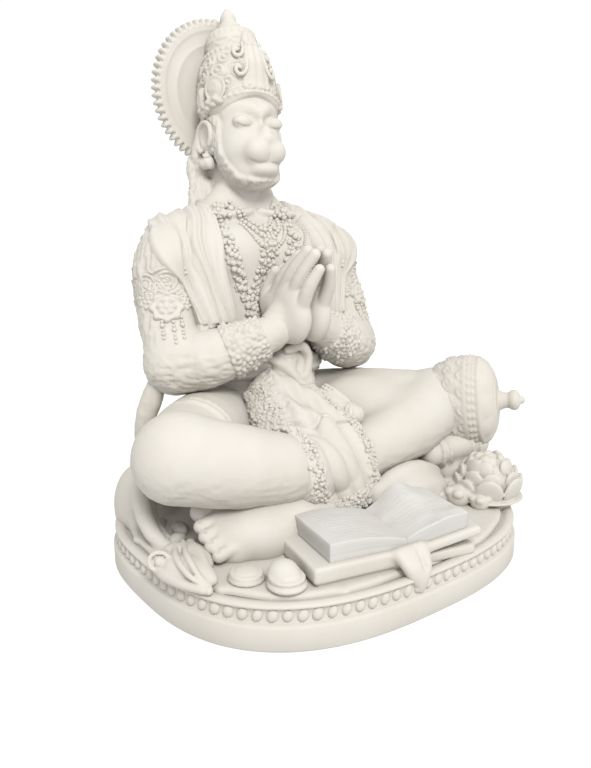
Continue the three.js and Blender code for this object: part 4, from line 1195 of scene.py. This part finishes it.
def feet():
    right = Clay((-62, -34, 9), (-4, 16, 36), 0.56).add([
        (rope([(-14, -18, 20, 7.6), (-24, -18, 21, 8), (-34, -14, 20.4, 7.6), (-41, -11, 19.8, 6.4)], 8), 0),
        (egg((-35.6, -17.6, 20), (14, 9.4, 8.4), (24, 4, -14)), 3),
        (egg((-44, -11.4, 20.4), (8, 12, 6), (24, 4, -14)), 2.5),
    ])
    # Toes from the big one at the back, high up, to the little one low in front
    big, little = array([-49.4, -3.6, 25.6]), array([-54.0, -20.2, 17.6])
    toes = ((0, 3.3, 0), (0.3, 2.4, -1.2), (0.52, 2.3, -0.8), (0.74, 2.2, 0), (0.96, 2.1, 1.4))
    for share, size, reach in toes:
        tip = big + (little - big) * share + [reach, 0, 0]
        right.add([(digit(tip + [12, -1.4, 1.2], tip, (0, 0, 0.9), size * array([0.95, 0.86, 1])), 0.6)])
        nail = tip + size * array([-0.42, -0.2, 0.86])
        right.cut([(egg(nail, (size * 0.5, size * 0.5, 0.3), (0, 24, 0)), 0.3)])
    left = Clay((22, -20, 9), (64, 12, 30), 0.7).add([
        (rope([(26, -4, 19, 6.4), (34, -3.6, 18, 5.8), (41, -4, 17, 4.6)], 6), 0),
        (egg((42, -4.6, 16), (8, 8.6, 4), (0, 0, 6)), 2.5),
    ])
    for k, size in enumerate((3.0, 2.2, 2.1, 2.0, 1.9)):
        tip = array([53 - 0.2 * k * k, 2.6 - 4.2 * k, 16.6 - 0.2 * k])
        left.add([(wire([tip - [10, 0.4, -0.6], tip], size, 4), 0.6)])
    build("feet", [right.skin(), left.skin()])


feet()

# Mace with the beaded roll under it, and the tail
MACE_MIDDLE = array([62.4, -11.8, 46.0])
MACE_AXIS = unit([0.52, -0.84, 0.12])
MACE = [
    (-16, 0), (-15.6, 4), (-13.5, 9.8), (-9, 14.6), (-4, 16.9), (0, 17.5), (1.5, 17.5), (2.2, 18.0),
    (3.0, 18.1), (3.8, 17.7), (6.6, 17.1), (7.2, 17.5), (8, 17.5), (8.8, 16.7), (10.8, 14.8), (12.6, 11.8),
    (13.5, 8.8), (13.8, 6.4), (13.9, 4.6), (14.2, 3.9), (15.6, 3.2), (17.2, 2.9), (17.8, 3.1), (18.4, 3.6),
    (19.6, 3.9), (20.9, 3.5), (21.6, 2.4), (22.0, 1.6), (22.8, 1.4), (23.4, 0.9), (23.6, 0),
]
FLATTENED = 0.72


def mace_head():
    a, along, r = lathe_grid(MACE, 124, 156)
    cell = a * 16 / 6.3 + 0.5 * (np.floor((along + 16) / 5.2) % 2)
    dx, dy = (cell % 1 - 0.5) * 6.3, (along + 16) % 5.2 - 2.6
    reach = hypot(dx, dy)
    curls = spiral(reach, arctan2(dy, dx), 1.6, 0.26) * step_up(2.9 - reach, 0, 0.7)
    lobes = abs(cos(a * 5)) - 0.6
    relief = 0.8 * lobes * step_up(1.4 - along, 0, 1.5) * step_up(along, -14, -6)
    relief += 0.85 * curls * step_up(2.2 - along, 0, 0.8) * step_up(along, -15, -12)
    relief += 0.7 * lobes * step_up(along, 8.6, 9.4) * step_up(13 - along, 0, 2)
    relief += (bump(along, 4.4, 0.6) + bump(along, 5.9, 0.6)) * (0.45 + 0.5 * cos(a * 36))
    r = r + relief * (r > 5)
    outwards = unit([0.84, 0.53, 0.0])
    wide = (FLATTENED + (1 - FLATTENED) * step_up(along, 13, 14.5)) * r * cos(a)
    high = r * sin(a)
    points = MACE_MIDDLE + along[..., None] * MACE_AXIS + wide[..., None] * outwards
    points = points + high[..., None] * cross(MACE_AXIS, outwards)
    return outward(points.reshape(-1, 3), *a.shape, MACE_MIDDLE)


def mace():
    clay = Clay((30, -36, 10), (76, 50, 56), 0.8).add([
        (rope([(58, 0, 40, 4.4), (50, 20, 33, 4.3), (42, 42, 26, 4.2)], 6), 0),
        (rope([(46, -12, 28.4, 5.4), (55, -14.6, 29.6, 6.0), (64, -17.6, 30.4, 5.6)], 6), 0.5),
        (egg((58, -9, 20), (11, 14, 9), (0, 0, -20)), 2),
    ])
    roll = unit([18, -5.6, 2.0])
    side = unit(cross(roll, UP))
    for t in (2.5, 5.5, 15, 18):
        ring = circle((46, -12, 28.4) + roll * t, 6.1, side, cross(side, roll), linspace(0, FULL_TURN, 17))
        clay.add([(wire(ring, 0.7, 26), 0.3)])
    tail = Clay((-58, 26, 14), (-8, 62, 66), 0.85).add([(rope([
        (-14, 52, 27, 4.6), (-32, 48.5, 28, 4.4), (-45, 41, 34, 3.9), (-48.6, 35.6, 46, 3.5),
        (-46.6, 33, 55, 3.6), (-45.8, 32, 59, 3)], 16), 0)])
    strokes = tail.textured(lambda p, n: 0.2 * ridges(p, (1.4, 1.4, 5), 31))
    build("mace_and_tail", [mace_head(), clay.skin(), strokes])


mace()

# The book on its folding stand
GUTTER = array([-5.2, -40.5, 19.2])
BOOK_TURN = -12
BOOK_LENGTH, PAGE_LENGTH, LINE_PITCH = 28.0, 24.0, 2.1
LEAVES = 12


def book_place(p):
    return p @ rotation(0, 0, BOOK_TURN).astype(float).T + GUTTER


def book_stand():
    clay = Clay((-44, -68, 6), (32, -14, 34), 0.62)
    for middle, wide, long, thick, tilt, edge, blend in (
        ((-15.6, 0, -1.0), 15.6, 0.5, 2.5, 0, 0.9, 0.6), ((12.8, 0, 0.9), 13.4, 0.5, 1.5, -7, 0.9, 0.6),
        ((12, 0.4, -3.9), 13, 0.47, 1.7, 0, 0.8, 0.6), ((-15.4, 0.4, -4), 14.6, 0.47, 1.8, 0, 0.8, 0.6),
        ((0, 0, -2), 4.4, 0.47, 3, 0, 1, 1.6),
    ):
        half = (wide, BOOK_LENGTH * long, thick)
        clay.add([(slab(book_place(middle), half, (0, tilt, BOOK_TURN), edge), blend)])
    front = book_place((0, -BOOK_LENGTH * 0.5, 0))
    for dx in (-4.4, -1.5, 1.5, 4.4):
        fold = [(dx, 0.2, 0.6), (0.2 + 0.8 * dx, -2.6, -2.6), (0.6 + 0.42 * dx, -3.2, -6.2),
                (0.8, -3.0, -9.4)]
        knots = [(*(front + step), size) for step, size in zip(fold, (1.7, 1.8, 1.6, 0.8))]
        clay.add([(rope(knots, 9), 2.4)])
    groove = rope([(*(front + [1.6, -1.4, 2.4]), 0.4), (*(front + [1.4, -4.6, -3]), 0.5)], 5)
    return clay.cut([(groove, 1.6)]).skin()


def page_block(side, width, tilt, base):
    """A bowed top with shallow strokes, and leaf edges along the sides."""
    u, w = meshgrid(linspace(0, 1, 58), linspace(-0.5, 0.5, 64))
    across, along, lifted = u * width, w * BOOK_LENGTH, side > 0
    rise = np.tan(radians(tilt)) * across + lifted * 4.2 * bump(u, 0.5, 0.24) * step_up(w, -0.2, 0.5)
    bow = 1.6 * sin(pi * clip(u * 0.9 + 0.02, 0, 1)) ** 0.8 + 2.6
    row = np.floor(along / LINE_PITCH)
    inside = (u > 0.1) * (u < 0.88) * (abs(w) < 0.42)
    broken = flat_noise(across / 1.1, row * 7.7 + side * 31, 1, 41) > -0.25
    strokes = (0.15 - 0.07 * lifted) * inside * broken * bump(along / LINE_PITCH % 1, 0.5, 0.2)
    wave = (0.12 + 0.25 * lifted) * flat_noise(across, along, 5, 43)
    height = rise + bow + 0.15 * sin(u * 3 + w * 2) - strokes + wave + 1.2
    top = stack([side * across, w * PAGE_LENGTH, height], -1)
    border = concatenate([top[0, :], top[1:, -1], top[-1, -2::-1], top[-2:0:-1, 0]])
    bottom = np.tan(radians(base)) * abs(border[:, 0]) + 1.0
    away = unit((border - [side * width / 2, 0, 0]) * [1, 1, 0])
    walls = []
    for k, depth in enumerate(linspace(0, 1, LEAVES)):
        ring = border.copy()
        ring[:, 2] += (bottom - ring[:, 2]) * depth
        push = 0.4 * (k % 2) * (0 < k < LEAVES - 1) + 0.1 * rng.uniform(-1, 1)
        walls.append(ring + away * push)
    points = book_place(top.reshape(-1, 3))
    middle = book_place((side * width / 2, 0, 2))
    return [
        (points, facing(points, grid_faces(*u.shape), UP)),
        outward(book_place(concatenate(walls)), LEAVES, len(border), middle),
    ]


build("book_stand", [book_stand()])
# The pages take the stone copy whose greyer tint is painted shade
build("book_pages", page_block(-1, 25.5, 6, 0) + page_block(1, 21.5, 10.8, 7), PAGES_PAINTED_SHADE)

# Offerings: pots, conch, bowl of fruit, petals and small flowers
EAST, NORTH = array([1, 0, 0]), array([0, 1, 0])
FIVE = linspace(0, FULL_TURN, 5, endpoint=False)


def level_circle(x, y, z, radius, turns):
    return circle((x, y, z), radius, EAST, NORTH, turns)


def pots_and_conch():
    clay = Clay((-75, -58, 9), (-28, 26, 28), 0.56)
    for x, y, radius, tall in ((-50.4, -31.2, 4.9, 3.4), (-44.0, -42.0, 5.2, 5.0)):
        for rise, share, half, blend in (
            (1.2, 1, 1.5, 0), (tall * 0.5, 0.93, tall * 0.42, 0.5), (tall * 0.86, 0.74, tall * 0.3, 0.6),
        ):
            clay.add([(egg((x, y, GROUND + rise), (radius * share, radius * share, half)), blend)])
        for share, height in ((1.0, 0.34), (0.9, 0.74)):
            ring = level_circle(x, y, GROUND + tall * height, radius * share, linspace(0, FULL_TURN, 15))
            clay.add([(wire(ring, 0.6, 26), 0.5)])
    # Conch: an eye at its left, a long lower lip and three ridges sweeping to a pointed tail
    clay.add([
        (egg((-43.4, -39.4, 18.2), (4.5, 4.5, 3.8)), 1.2),
        (rope([(-65, -11, 16.4, 3.0), (-65, -16, 16.4, 3.9), (-63.6, -21, 16.2, 3.7),
               (-62.8, -26.5, 15.8, 2.6), (-62.8, -31.5, 15.4, 1.2)], 12), 0),
        (rope([(-68, -10.4, 15.6, 1.3), (-68.6, -16, 15.6, 1.7), (-67, -23.4, 15.6, 1.6),
               (-64, -30.4, 15.4, 1.1)], 12), 0.4),
    ])
    for ridge, size in (
        (((-60.4, -7, 19.6), (-65.4, -18, 20.4), (-66, -26, 18.8), (-64, -29.4, 17)), 1.0),
        (((-57.9, -7.6, 19.6), (-62.6, -19, 20.6), (-63.6, -26.4, 18.8), (-62.8, -29.4, 17)), 1.05),
        (((-55.8, -9.2, 18.6), (-57.6, -18.6, 18.6), (-59.8, -26, 17.2), (-63, -32, 15.6)), 1.25),
    ):
        clay.add([(rope([(*p, size * part) for p, part in zip(ridge, (0.7, 1, 0.85, 0.5))], 16), 0.5)])
    eye = array([-68.6, -13.4, 18.6])
    rim = circle(eye, 1, 3.0 * unit([0.8, -0.6, 0]), 2.7 * unit([0.13, 0.17, 0.97]), linspace(-0.5, 5.0, 16))
    clay.add([
        (egg((-61.6, -9.6, 18), (4, 4, 2.6), (0, 0, 20)), 0.6),
        (egg((-61.4, -18.4, 16.2), (4.4, 11.5, 3.6), (0, 0, 8)), 0.6),
        (egg((-56.8, -13, 16), (4.4, 8, 4)), 1.2), (egg(eye, (1.5, 1.5, 1.6)), 0.2),
        (wire(rim, 0.7, 26), 0.2),
        (egg(eye + [1.6, 2.2, -0.8], (3.2, 3.0, 3.0)), 0.3),
    ])
    petals = ((-53.4, 17, 4.2, 62), (-50.6, 8.4, 4.2, 80), (-55, 2, 3.6, 20), (-53.6, -4.4, 3.0, 50))
    for x, y, size, turn in petals:
        clay.add([(egg((x, y, GROUND + 1.6), (size, size * 0.62, 2.1), (0, 0, turn)), 0.4)])
        c, s = size * cos(radians(turn)), size * sin(radians(turn))
        vein = [(x + k * c, y + k * s, GROUND + rise) for k, rise in ((-0.8, 3), (0, 3.9), (0.8, 3))]
        clay.cut([(wire(vein, 0.3, 6), 0.5)])
    return clay.skin()


def bowl():
    """A low dish heaped with rows of large petals round a centre, and round fruit beside it."""
    middle = array([54.4, -32.4, GROUND])
    clay = Clay((34, -52, 10), (74, -10, 37), 0.56).add([
        (egg(middle + [0, 0, 4], (9.8, 9.8, 12.6)), 0), (egg(middle + [0, 0, 2.2], (12.8, 12.8, 1.2)), 0.4),
    ])
    some = np.random.default_rng(5)
    for count, ring, height, size, tip in (
        (8, 10.6, 5.6, 4.6, 16), (8, 9.2, 9.4, 4.1, 4), (8, 7.0, 13.0, 3.2, -14), (7, 4.4, 15.6, 2.5, -34),
        (3, 1.4, 16.8, 2.0, -60),
    ):
        for k in range(count):
            share = (k + 0.5 * (count % 2) + 0.22 * some.uniform(-1, 1)) / count
            t = FULL_TURN * share + 0.2 + 0.4 * height
            grown = size * (1 + 0.16 * some.uniform(-1, 1))
            at = middle + [ring * cos(t), ring * sin(t), height + 0.7 * some.uniform(-1, 1)]
            turn = (some.uniform(-14, 14), tip, np.degrees(t))
            clay.add([(egg(at, (1.3, grown * 0.95, grown), turn), 0.12)])
    fruit = ((46.4, -23, 4.6), (42, -29.6, 4.4), (44.8, -37, 3.4), (51, -17.4, 3.8), (38.6, -24, 3.0))
    for x, y, size in fruit:
        clay.add([(egg((x, y, GROUND + size * 0.7), (size, size, size * 0.95)), 0.3)])
        dimples = level_circle(x, y, GROUND + size * 1.1, size * 0.7, FIVE)
        clay.add([(egg(p, (size * 0.5, size * 0.5, size * 0.4)), 0.3) for p in dimples])
    return clay.skin()


def arcs_and_flowers():
    """Arcs and small flowers on the cloth before the knee."""
    clay = Clay((28, -40, 10), (70, -4, 26), 0.6)
    for x, y, radius in ((60, -14, 4.6), (52, -20, 4.2), (44, -19, 3.6)):
        arc = level_circle(x, y, GROUND + 1.2, radius, linspace(-2.6, 0.9, 12))
        clay.add([(wire(arc, 0.9, 20), 0.4)])
    for x, y in ((50, -11), (57, -22), (39, -22), (63, -19)):
        clay.add([(egg(p, (1.2, 1.2, 0.9)), 0.2) for p in level_circle(x, y, GROUND + 1.1, 1.7, FIVE)])
        clay.add([(egg((x, y, GROUND + 1.7), (0.9, 0.9, 0.8)), 0.1)])
    return clay.skin()


build("offerings", [pots_and_conch(), bowl(), arcs_and_flowers()])

# Studio: pale floor, white surroundings and large soft lights
PAPER_WHITE = (1.0, 1.0, 0.995, 1)


def studio():
    bpy.ops.mesh.primitive_plane_add(size=6, location=(0, 0, -0.0002))
    floor = bpy.context.object
    floor.name = "floor"
    paper, _ = material_of("floor_paper", {
        "Base Color": (0.08, 0.08, 0.08, 1), "Emission Color": PAPER_WHITE, "Emission Strength": 1.0,
        "Roughness": 0.95, "Specular IOR Level": 0.1,
    })
    floor.data.materials.append(paper)
    world = bpy.data.worlds.new("studio")
    bpy.context.scene.world = world
    world.use_nodes = True
    sky = world.node_tree.nodes["Background"].inputs
    sky["Color"].default_value, sky["Strength"].default_value = PAPER_WHITE, 1.03
    for name, place, size, power in (
        ("key", (-0.24, -0.56, 0.62), 0.28, 6.0), ("fill", (0.1, -0.9, 0.4), 0.5, 0.6),
    ):
        light = bpy.data.lights.new(name, "AREA")
        light.size, light.energy = size, power
        aimed(name, light, place, Vector((0, 0.01, 0.08)) - Vector(place))
    bpy.context.scene.view_settings.view_transform = "Standard"


studio()
